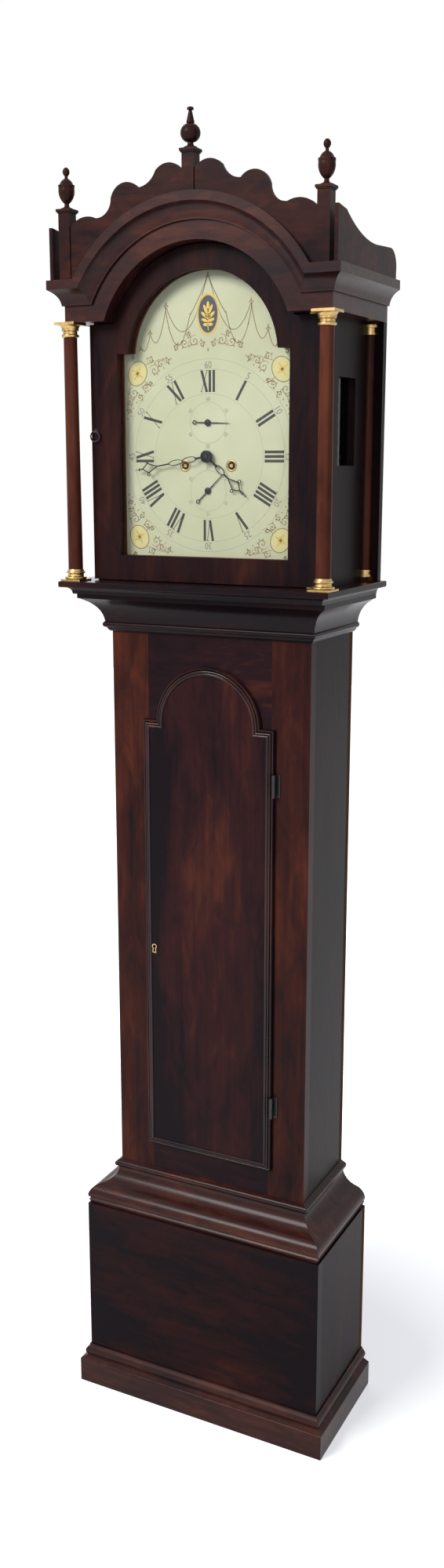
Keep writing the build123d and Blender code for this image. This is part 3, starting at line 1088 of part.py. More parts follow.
def make_weights():
    """Two cased weights on pulleys, hung from doubled gut lines."""
    leads = []
    for side, tag in ((1, "going"), (-1, "strike")):
        lead, fixed = line_places(side)
        x = (lead + fixed) / 2
        half = PULLEY_T / 2
        groove = drawn(
            (0, LINE_DEPTH - half), (PULLEY_R + 2, LINE_DEPTH - half), (PULLEY_R + 2, LINE_DEPTH - half + 1),
            (PULLEY_R, LINE_DEPTH - 1), (PULLEY_R, LINE_DEPTH + 1),
            (PULLEY_R + 2, LINE_DEPTH + half - 1), (PULLEY_R + 2, LINE_DEPTH + half), (0, LINE_DEPTH + half))
        sheave = spun(groove, x, PULLEY_Z)
        sheave -= rod_d(ARBOR_R + RUN, x, PULLEY_Z, LINE_DEPTH - 10, LINE_DEPTH + 10)
        save(f"{tag}_pulley", sheave)

        low = PULLEY_Z - PULLEY_R - 8
        cheek = half + 1.0
        stirrup = rod_d(ARBOR_R, x, PULLEY_Z, LINE_DEPTH - cheek - 1.5, LINE_DEPTH + cheek + 1.5)
        for d0 in (LINE_DEPTH - cheek - 1.5, LINE_DEPTH + cheek):
            stirrup += board(x - 5, x + 5, d0, d0 + 1.5, low, PULLEY_Z + 6)
        stirrup += board(x - 5, x + 5, LINE_DEPTH - cheek - 1.5, LINE_DEPTH + cheek + 1.5, low - 3, low)
        top = PULLEY_Z - WEIGHT_DROP
        stirrup += rod_z(2.0, x, LINE_DEPTH, top, low - 2)
        shell = drawn((0, top - WEIGHT_H), (WEIGHT_R - 2, top - WEIGHT_H), (WEIGHT_R, top - WEIGHT_H + 2),
                      (WEIGHT_R, top - 4), (WEIGHT_R - 4, top), (0, top))
        save(f"{tag}_weight", turned(shell, x, LINE_DEPTH), stirrup)

        falls = [rod_z(LINE_R, edge, LINE_DEPTH, PULLEY_Z, CHEEK_TOP) for edge in (lead, fixed)]
        save(f"{tag}_line", *falls)
        leads.append(rod_z(LINE_R, lead, LINE_DEPTH, CHEEK_TOP, WIND_Z))
        tail = rod_z(LINE_R, fixed, LINE_DEPTH, CHEEK_TOP, SEAT_TOP + 2)
        leads.append(tail + Pos(fixed, BACK_Y - LINE_DEPTH, SEAT_TOP + 2) * Sphere(2.0))
    save("line_leads", *leads)


make_backboard()
make_base()
make_trunk()
make_seatboard()
make_trunk_door()
make_hood_base()
make_hood_sides()
make_dial_mask()
make_frieze()
make_cornice()
make_roof()
make_cresting()
make_finials()
make_columns()
make_hood_door()
make_dial()
make_hands()
make_plates()
make_barrels()
make_going_train()
make_anchor()
make_pendulum(make_back_cock())
make_bell()
make_weights()
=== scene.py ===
import math
import bpy
import numpy as np
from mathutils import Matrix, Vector


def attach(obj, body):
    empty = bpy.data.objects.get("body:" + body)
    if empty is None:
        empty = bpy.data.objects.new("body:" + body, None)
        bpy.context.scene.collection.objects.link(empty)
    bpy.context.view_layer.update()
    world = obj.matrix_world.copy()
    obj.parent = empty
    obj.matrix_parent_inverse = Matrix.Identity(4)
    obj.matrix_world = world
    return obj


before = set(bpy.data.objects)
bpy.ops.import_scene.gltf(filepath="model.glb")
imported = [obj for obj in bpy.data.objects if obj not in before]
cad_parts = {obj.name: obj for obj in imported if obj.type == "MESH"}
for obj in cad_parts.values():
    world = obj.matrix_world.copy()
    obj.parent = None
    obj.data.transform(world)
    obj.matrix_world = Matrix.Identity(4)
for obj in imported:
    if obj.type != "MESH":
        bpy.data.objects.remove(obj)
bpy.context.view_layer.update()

# Places shared with the solids, in millimetres
BACK_Y = 125.5
DIAL_Z = 1709.0
DIAL_FACE = 176.0
WIND_X, WIND_Z = 41.0, 1695.0
SECONDS_Z = 1761.0
DATE_Z = 1656.0
DOOR_HALF, DOOR_BOTTOM, DOOR_SHOULDER = 121.6, 499.5, 1279.0
DOOR_ARCH_R, DOOR_ARCH_Z = 96.5, 1277.0
DOOR_LIP_FACE, DOOR_FACE = 180.3, 184.3
HINGE_Z, HINGE_CLEAR = (619.0, 1187.0), 20.0

# Painted dial: thickness of one coat, and circles about the centre of the hands
INK_T, INK_LIFT = 0.05, 0.01
OUTER_RING_R, MINUTE_RING_R, INNER_RING_R, LITTLE_RING_R = 148.5, 133.0, 96.0, 32.0
HAIRLINE = 0.45
MEDALLION_UP = 215.0


def P(x, depth, z):
    """Metres in the row frame, from millimetres with depth counted from the wall."""
    return (x / 1000.0, (BACK_Y - depth) / 1000.0, z / 1000.0)


# Materials
def new_material(name):
    """Empty node material with one Principled shader; returns (material, nodes, links, shader)."""
    mat = bpy.data.materials.new(name)
    mat.use_nodes = True
    nodes = mat.node_tree.nodes
    links = mat.node_tree.links
    return mat, nodes, links, nodes["Principled BSDF"]


def plain(name, colour, rough, metal=0.0):
    """One colour, one roughness."""
    mat, nodes, links, shader = new_material(name)
    shader.inputs["Base Color"].default_value = (*colour, 1.0)
    shader.inputs["Roughness"].default_value = rough
    shader.inputs["Metallic"].default_value = metal
    return mat


def noise(nodes, links, coords, scale, detail=4.0, rough=0.55, distortion=0.0):
    """Noise over object coordinates that are stretched by a scale along each axis."""
    mapping = nodes.new("ShaderNodeMapping")
    mapping.inputs["Scale"].default_value = scale
    links.new(coords, mapping.inputs["Vector"])
    tex = nodes.new("ShaderNodeTexNoise")
    tex.inputs["Scale"].default_value = 1.0
    tex.inputs["Detail"].default_value = detail
    tex.inputs["Roughness"].default_value = rough
    tex.inputs["Distortion"].default_value = distortion
    links.new(mapping.outputs["Vector"], tex.inputs["Vector"])
    return tex.outputs["Fac"]


def ramp(nodes, links, value, stops):
    """Colour ramp over a value; stops are (place, colour)."""
    node = nodes.new("ShaderNodeValToRGB")
    elements = node.color_ramp.elements
    while len(elements) < len(stops):
        elements.new(0.5)
    for element, (place, colour) in zip(elements, stops):
        element.position = place
        element.color = (*colour, 1.0)
    links.new(value, node.inputs["Fac"])
    return node.outputs["Color"]


def maths(nodes, links, kind, a, b):
    """One math node; each side is a socket or a number."""
    node = nodes.new("ShaderNodeMath")
    node.operation = kind
    for i, side in enumerate((a, b)):
        if isinstance(side, (int, float)):
            node.inputs[i].default_value = side
        else:
            links.new(side, node.inputs[i])
    return node.outputs[0]


def wood(name, grain, dark, mid, red, warm=0.5, coat=0.03, rough=0.36, gloss=0.05, ior=1.5, edge_shade=None):
    """Old polished timber: fine grain along one axis, and broad patches where the stain has worn.
    The last argument is (axis, middle, reach, amount), in metres: painted shade that darkens the colour
    away from the middle, towards the panel's edges."""
    mat, nodes, links, shader = new_material(name)
    coords = nodes.new("ShaderNodeTexCoord").outputs["Object"]
    fine = {"x": (3.0, 90.0, 90.0), "y": (90.0, 3.0, 90.0), "z": (90.0, 90.0, 3.0)}[grain]
    broad = {"x": (3.0, 9.0, 9.0), "y": (9.0, 3.0, 9.0), "z": (9.0, 9.0, 2.2)}[grain]
    flame = {"x": (14.0, 40.0, 40.0), "y": (40.0, 14.0, 40.0), "z": (30.0, 30.0, 9.0)}[grain]
    grain_f = noise(nodes, links, coords, fine, 6.0, 0.6, 0.4)
    patch_f = noise(nodes, links, coords, broad, 3.0, 0.55, 0.6)
    flame_f = noise(nodes, links, coords, flame, 4.0, 0.6, 1.2)
    mix = maths(nodes, links, "MULTIPLY", patch_f, 0.58)
    mix = maths(nodes, links, "ADD", mix, maths(nodes, links, "MULTIPLY", flame_f, 0.34))
    mix = maths(nodes, links, "ADD", mix, maths(nodes, links, "MULTIPLY", grain_f, 0.22))
    mix = maths(nodes, links, "ADD", mix, warm - 0.57)
    # Painted shade: the colour darkens towards the panel's edges along one axis.
    if edge_shade:
        axis, middle, reach, amount = edge_shade
        split = nodes.new("ShaderNodeSeparateXYZ")
        links.new(coords, split.inputs[0])
        off = maths(nodes, links, "SUBTRACT", split.outputs[axis], middle)
        off = maths(nodes, links, "ABSOLUTE", off, 0.0)
        off = maths(nodes, links, "DIVIDE", off, reach)
        off = maths(nodes, links, "POWER", off, 3.0)
        off = maths(nodes, links, "MINIMUM", off, 1.3)
        mix = maths(nodes, links, "SUBTRACT", mix, maths(nodes, links, "MULTIPLY", off, amount))
    colour = ramp(nodes, links, mix, [(0.36, dark), (0.52, mid), (0.70, red)])
    links.new(colour, shader.inputs["Base Color"])
    shader.inputs["Roughness"].default_value = rough
    shader.inputs["Coat Weight"].default_value = coat
    shader.inputs["Coat Roughness"].default_value = 0.16
    shader.inputs["Specular IOR Level"].default_value = gloss
    shader.inputs["IOR"].default_value = ior
    bump = nodes.new("ShaderNodeBump")
    bump.inputs["Strength"].default_value = 0.12
    bump.inputs["Distance"].default_value = 0.0006
    links.new(grain_f, bump.inputs["Height"])
    links.new(bump.outputs["Normal"], shader.inputs["Normal"])
    return mat


BLACK_WOOD = (0.0078, 0.0042, 0.0066)
DARK_WOOD = (0.021, 0.0074, 0.0096)
MID_WOOD = (0.038, 0.0105, 0.0110)
RED_WOOD = (0.115, 0.032, 0.018)

stile_wood = wood("wood_stile", "z", BLACK_WOOD, (0.045, 0.012, 0.009), (0.120, 0.030, 0.016), 0.50)
rail_wood = wood("wood_rail", "x", BLACK_WOOD, DARK_WOOD, (0.095, 0.025, 0.014), 0.48)
# Painted shade darkens the trunk door towards its left and right edges.
door_wood = wood("wood_door", "z", BLACK_WOOD, MID_WOOD, RED_WOOD, 0.51, edge_shade=(0, 0.010, 0.125, 0.30))
# Painted shade: the case sides use a darker copy of the wood, for faces turned away from the light; their
# grey sheen comes from real gloss.
shaded_side_wood = wood("wood_side_shaded", "z", (0.0085, 0.0048, 0.0055), (0.018, 0.0085, 0.0090),
                 (0.040, 0.014, 0.012), 0.46, coat=0.0, gloss=0.5, ior=1.12)
# Painted shade darkens the base front towards its left and right edges.
base_wood = wood("wood_base", "x", BLACK_WOOD, (0.030, 0.0085, 0.0080), (0.080, 0.021, 0.013), 0.46,
                 edge_shade=(0, -0.02, 0.26, 0.18))
mould_wood = wood("wood_moulding", "x", BLACK_WOOD, (0.040, 0.011, 0.0085), (0.120, 0.032, 0.017), 0.50,
                  coat=0.14, rough=0.32, gloss=0.10)
throat_wood = wood("wood_throat", "x", BLACK_WOOD, (0.020, 0.0065, 0.0075), (0.070, 0.020, 0.014), 0.46,
                   coat=0.06, rough=0.32, gloss=0.06)
arch_wood = wood("wood_arch", "x", BLACK_WOOD, (0.036, 0.0100, 0.0090), (0.110, 0.031, 0.018), 0.50,
                 coat=0.12, rough=0.34, gloss=0.10)
hood_wood = wood("wood_hood_door", "z", BLACK_WOOD, (0.026, 0.0085, 0.0080), (0.075, 0.020, 0.013), 0.45)
column_wood = wood("wood_column", "z", (0.018, 0.006, 0.005), (0.075, 0.020, 0.012),
                   (0.150, 0.042, 0.022), 0.56)
crest_wood = wood("wood_crest", "x", BLACK_WOOD, (0.036, 0.011, 0.009), (0.110, 0.030, 0.017), 0.50)
turned_wood = wood("wood_turned", "z", (0.014, 0.007, 0.006), (0.036, 0.013, 0.010),
                   (0.085, 0.030, 0.020), 0.50)
inner_wood = wood("wood_mask", "z", (0.040, 0.014, 0.009), (0.090, 0.028, 0.015),
                  (0.170, 0.055, 0.026), 0.54)
trim_wood = wood("wood_trim", "z", BLACK_WOOD, (0.030, 0.0095, 0.0090), (0.080, 0.024, 0.016), 0.50,
                 coat=0.20, rough=0.30, gloss=0.12)
plain_wood = wood("wood_plain", "z", (0.060, 0.030, 0.014), (0.115, 0.060, 0.028),
                  (0.180, 0.100, 0.050), 0.50, coat=0.0, rough=0.75)


def metal(name, colour, rough, spread=0.12, scale=180.0):
    """Metal whose roughness drifts a little over its surface."""
    mat, nodes, links, shader = new_material(name)
    coords = nodes.new("ShaderNodeTexCoord").outputs["Object"]
    drift = noise(nodes, links, coords, (scale, scale, scale), 3.0)
    low = tuple(c * 0.72 for c in colour)
    links.new(ramp(nodes, links, drift, [(0.30, low), (0.65, colour)]), shader.inputs["Base Color"])
    shader.inputs["Metallic"].default_value = 1.0
    grown = maths(nodes, links, "MULTIPLY", drift, spread)
    links.new(maths(nodes, links, "ADD", grown, rough - spread / 2), shader.inputs["Roughness"])
    return mat


brass_aged = metal("brass_aged", (0.50, 0.34, 0.14), 0.34, 0.2)
brass_dull = metal("brass_plate", (0.62, 0.44, 0.20), 0.36)
bell_mat = metal("bell_metal", (0.60, 0.50, 0.32), 0.28)
steel = metal("steel_grey", (0.34, 0.34, 0.35), 0.36)
iron = metal("iron_dark", (0.045, 0.043, 0.045), 0.46)
blued = plain("blued_steel", (0.010, 0.012, 0.020), 0.28, metal=0.6)
weight_paint = plain("weight_paint", (0.020, 0.020, 0.021), 0.5)
gut = plain("gut", (0.45, 0.33, 0.17), 0.55)


def dial_paint():
    """Cream enamel, faintly green and yellowed, with specks of age."""
    mat, nodes, links, shader = new_material("dial_enamel")
    coords = nodes.new("ShaderNodeTexCoord").outputs["Object"]
    cloud = noise(nodes, links, coords, (7.0, 7.0, 7.0), 3.0)
    tone = ramp(nodes, links, cloud, [(0.30, (0.55, 0.55, 0.37)), (0.70, (0.66, 0.66, 0.49))])
    speck = noise(nodes, links, coords, (260.0, 260.0, 260.0), 2.0)
    mark = ramp(nodes, links, speck, [(0.22, (0.55, 0.50, 0.38)), (0.30, (1.0, 1.0, 1.0))])
    mix = nodes.new("ShaderNodeMix")
    mix.data_type = "RGBA"
    mix.blend_type = "MULTIPLY"
    mix.inputs["Factor"].default_value = 0.6
    links.new(tone, mix.inputs["A"])
    links.new(mark, mix.inputs["B"])
    links.new(mix.outputs["Result"], shader.inputs["Base Color"])
    shader.inputs["Roughness"].default_value = 0.35
    shader.inputs["Coat Weight"].default_value = 0.2
    return mat


def thin_glass(name):
    """Old clear pane: see-through, with a fresnel reflection, and no shadow of its own."""
    mat = bpy.data.materials.new(name)
    mat.use_nodes = True
    nodes = mat.node_tree.nodes
    links = mat.node_tree.links
    nodes.clear()
    out = nodes.new("ShaderNodeOutputMaterial")
    clear = nodes.new("ShaderNodeBsdfTransparent")
    clear.inputs["Color"].default_value = (0.975, 0.985, 0.97, 1.0)
    gloss = nodes.new("ShaderNodeBsdfGlossy")
    gloss.inputs["Roughness"].default_value = 0.03
    fresnel = nodes.new("ShaderNodeFresnel")
    fresnel.inputs["IOR"].default_value = 1.32
    path = nodes.new("ShaderNodeLightPath")
    share = maths(nodes, links, "SUBTRACT", 1.0, path.outputs["Is Shadow Ray"])
    share = maths(nodes, links, "MULTIPLY", fresnel.outputs["Fac"], share)
    blend = nodes.new("ShaderNodeMixShader")
    links.new(share, blend.inputs["Fac"])
    links.new(clear.outputs[0], blend.inputs[1])
    links.new(gloss.outputs[0], blend.inputs[2])
    links.new(blend.outputs[0], out.inputs["Surface"])
    return mat


enamel = dial_paint()
glass = thin_glass("glass_pane")
black_ink = plain("ink_black", (0.010, 0.010, 0.010), 0.45)
grey_ink = plain("ink_grey", (0.22, 0.21, 0.18), 0.55)
faint_ink = plain("ink_faint", (0.36, 0.35, 0.29), 0.55)
brown_ink = plain("paint_brown_gold", (0.30, 0.20, 0.11), 0.5)
gilt = plain("paint_gilt", (0.62, 0.42, 0.10), 0.32, metal=0.5)
pale_gilt = plain("paint_pale_gilt", (0.70, 0.62, 0.30), 0.4)
navy = plain("paint_navy", (0.020, 0.032, 0.055), 0.4)

MATERIALS = {
    stile_wood: ["trunk_stiles"],
    rail_wood: ["trunk_rails"],
    door_wood: ["trunk_door"],
    shaded_side_wood: ["trunk_sides", "base_sides", "hood_sides"],
    base_wood: ["base_front_panel"],
    mould_wood: ["plinth_skirting", "base_moulding"],
    throat_wood: ["throat_moulding", "hood_base_frame"],
    arch_wood: ["hood_frieze", "cornice_mouldings"],
    hood_wood: ["hood_door_stiles", "hood_door_rails"],
    column_wood: ["hood_columns"],
    crest_wood: ["roof_cresting", "finial_plinths"],
    turned_wood: ["finials"],
    inner_wood: ["dial_mask"],
    plain_wood: ["backboard", "seatboard", "hood_roof"],
    brass_aged: ["column_brasses", "hood_door_pivots", "trunk_escutcheon"],
    brass_dull: ["movement_plates", "pillars_and_dial_feet", "back_cock", "going_great_wheel",
                 "strike_great_wheel", "centre_wheel", "third_wheel", "escape_wheel", "going_pulley",
                 "strike_pulley", "going_barrel", "strike_barrel", "pendulum_bob"],
    iron: ["case_hinge_leaves", "trunk_hinge_leaves", "hood_door_pull"],
    blued: ["minute_hand", "hour_hand", "seconds_hand", "date_hand"],
    steel: ["anchor_and_crutch", "hammer", "trunk_lock", "lock_bolt", "pendulum_rod"],
    bell_mat: ["bell"],
    enamel: ["dial_plate"],
    glass: ["hood_glass", "hood_side_glass"],
    gut: ["line_leads", "going_line", "strike_line"],
    weight_paint: ["going_weight", "strike_weight"],
}
SOFTENED = {
    "trunk_stiles": 0.8, "trunk_rails": 0.8, "trunk_door": 1.0, "base_front_panel": 1.2,
    "plinth_skirting": 1.0, "base_moulding": 0.8, "throat_moulding": 0.6, "hood_base_frame": 0.6,
    "hood_frieze": 1.0, "cornice_mouldings": 0.7, "hood_door_stiles": 0.8, "hood_door_rails": 0.8,
    "roof_cresting": 1.0, "finial_plinths": 0.7, "column_brasses": 0.3, "hood_sides": 0.8,
    "trunk_sides": 0.8, "base_sides": 0.8, "minute_hand": 0.25, "hour_hand": 0.25,
    "seconds_hand": 0.15, "date_hand": 0.15, "movement_plates": 0.4, "pendulum_bob": 0.5}

for mat, names in MATERIALS.items():
    for name in names:
        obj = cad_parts[name]
        obj.data.materials.clear()
        obj.data.materials.append(mat)
for name, width in SOFTENED.items():
    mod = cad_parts[name].modifiers.new("soft_edges", "BEVEL")
    mod.width = width / 1000.0
    mod.segments = 2
    mod.limit_method = "ANGLE"
    mod.angle_limit = math.radians(38)
    mod.harden_normals = False
    mod.use_clamp_overlap = True


# Pieces made from computed points
def add_mesh(name, verts, faces, mat, body, smooth=False):
    """Mesh object in the row frame that rides on a body."""
    mesh = bpy.data.meshes.new(name)
    mesh.from_pydata([tuple(v) for v in verts], [], [tuple(f) for f in faces])
    mesh.validate()
    mesh.update()
    obj = bpy.data.objects.new(name, mesh)
    bpy.context.scene.collection.objects.link(obj)
    mesh.materials.append(mat)
    if smooth:
        for poly in mesh.polygons:
            poly.use_smooth = True
    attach(obj, body)
    return obj


class Ink:
    """Flat painted marks on the dial, gathered into one thin mesh."""

    def __init__(self, level=0.0):
        self.verts = []
        self.faces = []
        self.back = DIAL_FACE + INK_LIFT + level * INK_T

    def _prism(self, outline):
        """Closed thin prism over a convex outline, given anticlockwise as seen from the front."""
        start = len(self.verts)
        count = len(outline)
        for depth in (self.back, self.back + INK_T):
            for x, z in outline:
                self.verts.append(P(x, depth, DIAL_Z + z))
        self.faces.append([start + count + i for i in range(count)])
        self.faces.append([start + i for i in reversed(range(count))])
        for i in range(count):
            j = (i + 1) % count
            self.faces.append([start + i, start + j, start + count + j, start + count + i])

    def stroke(self, points, width, closed=False):
        """Ribbon of a given width, or one width per point: edges at point +- width/2 along the normal."""
        pts = np.asarray(points, float)
        count = len(pts)
        wide = np.broadcast_to(np.asarray(width, float), (count,)) / 2
        if closed:
            tangent = np.roll(pts, -1, 0) - np.roll(pts, 1, 0)
        else:
            tangent = np.gradient(pts, axis=0)
        tangent /= np.linalg.norm(tangent, axis=1)[:, None] + 1e-9
        normal = np.stack([-tangent[:, 1], tangent[:, 0]], 1)
        left = pts + normal * wide[:, None]
        right = pts - normal * wide[:, None]
        start = len(self.verts)
        for i in range(count):
            for depth in (self.back, self.back + INK_T):
                self.verts.append(P(right[i][0], depth, DIAL_Z + right[i][1]))
                self.verts.append(P(left[i][0], depth, DIAL_Z + left[i][1]))
        last = count if closed else count - 1
        for i in range(last):
            a = start + 4 * i
            b = start + 4 * ((i + 1) % count)
            self.faces.append([a + 2, b + 2, b + 3, a + 3])
            self.faces.append([a + 1, b + 1, b, a])
            self.faces.append([a, b, b + 2, a + 2])
            self.faces.append([a + 3, b + 3, b + 1, a + 1])
        if not closed:
            a = start
            b = start + 4 * (count - 1)
            self.faces.append([a + 1, a, a + 2, a + 3])
            self.faces.append([b, b + 1, b + 3, b + 2])

    def ellipse(self, x, z, a, b, turn=0.0, steps=20):
        """Filled ellipse with half axes a and b, turned by an angle in radians."""
        t = np.arange(steps) * 2 * np.pi / steps
        u, v = a * np.cos(t), b * np.sin(t)
        self._prism(list(zip(x + u * math.cos(turn) - v * math.sin(turn),
                             z + u * math.sin(turn) + v * math.cos(turn))))

    def ring(self, x, z, a, b, width, steps=96):
        """Outline of an ellipse."""
        t = np.arange(steps) * 2 * np.pi / steps
        self.stroke(np.stack([x + a * np.cos(t), z + b * np.sin(t)], 1), width, closed=True)

    def done(self, name, mat, slot="dial_paint"):
        """Makes the object on the case body."""
        return add_mesh(name, self.verts, self.faces, mat, "case")


def radial(angle, radius, u, v):
    """Point u to the right and v outwards from a radius, on a ray at an angle clockwise from twelve."""
    s, c = math.sin(angle), math.cos(angle)
    return (s * (radius + v) + c * u, c * (radius + v) - s * u)


# Dial numerals
NUMERALS = ["XII", "I", "II", "III", "IIII", "V", "VI", "VII", "VIII", "IX", "X", "XI"]
HOUR_R0, HOUR_R1 = 99.0, 131.0
THICK, THIN, SERIF = 4.3, 1.0, 0.8
ADVANCE = {"I": 6.9, "V": 13.0, "X": 13.0}


def hour_numerals():
    """Roman hours set radially: thick and thin strokes with hairline serifs."""
    ink = Ink(1)
    high = HOUR_R1 - HOUR_R0
    for hour, text in enumerate(NUMERALS):
        angle = math.radians(30 * hour)
        total = sum(ADVANCE[c] for c in text)
        u = -total / 2
        for letter in text:
            mid = u + ADVANCE[letter] / 2
            half = ADVANCE[letter] / 2 - 0.9
            if letter == "I":
                lines = [(mid, 0, mid, high, THICK), (mid - half, 0, mid + half, 0, SERIF),
                         (mid - half, high, mid + half, high, SERIF)]
            elif letter == "V":
                lines = [(mid - half + 1, high, mid + 0.6, 0, THICK),
                         (mid + half - 0.6, high, mid + 0.9, 0, THIN),
                         (mid - half - 1, high, mid - half + 4, high, SERIF),
                         (mid + half - 3, high, mid + half + 1, high, SERIF)]
            else:
                lines = [(mid - half + 1, high, mid + half - 1, 0, THICK),
                         (mid + half - 0.6, high, mid - half + 0.6, 0, THIN),
                         (mid - half - 1, high, mid - half + 3.4, high, SERIF),
                         (mid + half - 3, high, mid + half + 1, high, SERIF),
                         (mid - half - 1, 0, mid - half + 3, 0, SERIF),
                         (mid + half - 3.4, 0, mid + half + 1, 0, SERIF)]
            for u0, v0, u1, v1, width in lines:
                ink.stroke([radial(angle, HOUR_R0, u0, v0), radial(angle, HOUR_R0, u1, v1)], width)
            u += ADVANCE[letter]
    ink.done("dial_hour_numerals", black_ink)


def text_marks(name, items, mat):
    """Arabic figures set radially. Each item is (text, angle, centre x, centre z, radius, height)."""
    verts, faces = [], []
    for text, angle, cx, cz, radius, high in items:
        curve = bpy.data.curves.new("figure", "FONT")
        curve.body = text
        curve.size = high / 0.73
        curve.align_x = "CENTER"
        curve.resolution_u = 3
        holder = bpy.data.objects.new("figure", curve)
        bpy.context.scene.collection.objects.link(holder)
        bpy.context.view_layer.update()
        mesh = bpy.data.meshes.new_from_object(holder)
        start = len(verts)
        for v in mesh.vertices:
            x, z = radial(angle, radius, v.co.x * 0.86, v.co.y)
            verts.append(P(x + cx, DIAL_FACE + INK_LIFT + 2 * INK_T, DIAL_Z + z + cz))
        for poly in mesh.polygons:
            faces.append([start + i for i in poly.vertices])
        bpy.data.objects.remove(holder)
        bpy.data.curves.remove(curve)
        bpy.data.meshes.remove(mesh)
    return add_mesh(name, verts, faces, mat, "case")


def minute_figures():
    """Five-minute figures outside the hours, and the small figures of both little dials."""
    items = []
    for i in range(12):
        items.append((str(5 * i or 60), math.radians(30 * i), 0, 0, 134.5, 11.0))
    text_marks("dial_minute_figures", items, grey_ink)
    small = []
    for i in range(6):
        small.append((str(10 * i or 60), math.radians(60 * i), 0, SECONDS_Z - DIAL_Z, 33.5, 6.0))
    for i, day in enumerate(("31", "5", "10", "15", "20", "25")):
        small.append((day, math.radians(60 * i), 0, DATE_Z - DIAL_Z, 33.5, 6.0))
    text_marks("dial_small_figures", small, grey_ink)


def dial_circles():
    """Hairline circles: minute ring, inner ring and the rings of the little dials, with minute dots."""
    ink = Ink(0)
    for radius, width in ((MINUTE_RING_R, HAIRLINE), (INNER_RING_R, HAIRLINE), (OUTER_RING_R, 0.5)):
        ink.ring(0, 0, radius, radius, width, 160)
    for z in (SECONDS_Z - DIAL_Z, DATE_Z - DIAL_Z):
        ink.ring(0, z, LITTLE_RING_R, LITTLE_RING_R, HAIRLINE)
        for i in range(60):
            angle = 2 * math.pi * i / 60
            a = radial(angle, LITTLE_RING_R - 1.8, 0, 0)
            b = radial(angle, LITTLE_RING_R, 0, 0)
            ink.stroke([(a[0], a[1] + z), (b[0], b[1] + z)], 0.3)
    for i in range(60):
        x, z = radial(2 * math.pi * i / 60, MINUTE_RING_R, 0, 0)
        ink.ellipse(x, z, 0.7, 0.7, steps=8)
    ink.done("dial_circles", faint_ink)


# Painted ornament
def curl(x, z, start, turns, r0, r1, flip=1, steps=40):
    """Spiral r = r0 + (r1 - r0) s, angle = start + flip * 2 pi turns * s, for s from 0 to 1."""
    s = np.linspace(0, 1, steps)
    angle = start + flip * 2 * np.pi * turns * s
    radius = r0 + (r1 - r0) * s
    return np.stack([x + radius * np.cos(angle), z + radius * np.sin(angle)], 1)


def taper(count, thick, thin=0.35):
    """Widths that swell in the middle of a stroke."""
    return thin + (thick - thin) * np.sin(np.linspace(0.15, np.pi - 0.05, count))


def corner_scrolls(ink, sx, sz):
    """Leafy scrolls round one corner oval, drawn for the upper right and mirrored by signs."""
    def put(points, width):
        pts = np.asarray(points) * np.array([sx, sz])
        ink.stroke(pts, width)

    def dot(x, z, a, b, turn=0.0):
        ink.ellipse(x * sx, z * sz, a, b, turn * sx * sz, 10)

    curls = [
        (96, 134, 0.4, 1.35, 9.5, 1.2, 1), (84, 143, 3.3, 1.25, 7.0, 1.0, -1),
        (103, 149, 5.6, 1.2, 6.5, 1.0, 1), (73, 147, 0.2, 1.15, 5.0, 0.8, 1),
        (134, 100, 1.2, 1.35, 9.5, 1.2, -1), (142, 86, 1.4, 1.25, 6.5, 1.0, 1),
        (123, 93, 5.0, 1.2, 5.5, 1.0, -1), (142, 73, 1.2, 1.15, 4.6, 0.8, -1),
        (112, 108, 3.6, 1.3, 6.5, 1.0, 1),
        (104, 115, 0.6, 1.1, 4.6, 0.8, -1), (134, 155, 2.2, 1.0, 3.6, 0.8, -1)]
    for x, z, start, turns, r0, r1, flip in curls:
        pts = curl(x, z, start, turns, r0, r1, flip)
        put(pts, taper(len(pts), 1.5))
        end = pts[-1]
        dot(end[0], end[1], 1.3, 1.3)
        for k in (6, 13, 20):
            out = pts[k] + (pts[k] - np.array([x, z])) * 0.28
            dot(out[0], out[1], 2.1, 0.9, math.atan2(out[1] - z, out[0] - x) + 0.6)
    for points in ([(112, 143), (100, 146), (88, 150), (72, 153)],
                   [(140, 115), (144, 100), (147, 84), (146, 66)],
                   [(114, 118), (108, 112), (101, 110), (95, 112)]):
        put(points, [1.0, 0.9, 0.7, 0.4])
    for x, z in ((66, 151), (69, 143), (79, 137), (90, 128), (146, 60), (139, 64), (135, 76), (129, 85)):
        dot(x, z, 1.7, 0.9, 0.8)


def dial_ovals(ink_gold, ink_fill, ink_rose):
    """Four corner ovals with an edge line and a rosette of eight petals."""
    for sx in (1, -1):
        for cz, sz in ((129.5, 1), (-128.0, -1)):
            x = 127.0 * sx
            turn = 0.55 * sx * sz
            c, s = math.cos(turn), math.sin(turn)
            t = np.arange(72) * 2 * np.pi / 72
            u, v = 16.5 * np.cos(t), 19.5 * np.sin(t)
            path = np.stack([x + u * c - v * s, cz + u * s + v * c], 1)
            ink_gold.stroke(path, 1.5, closed=True)
            ink_fill.ellipse(x, cz, 15.8, 18.8, turn, 48)
            for k in range(8):
                angle = turn + k * math.pi / 4
                reach = 10.5 if k % 2 == 0 else 6.0
                ink_rose.ellipse(x + math.cos(angle) * reach * 0.55, cz + math.sin(angle) * reach * 0.62,
                                 reach * 0.5, 1.3, angle, 12)
            ink_rose.ellipse(x, cz, 2.2, 2.2, 0, 12)


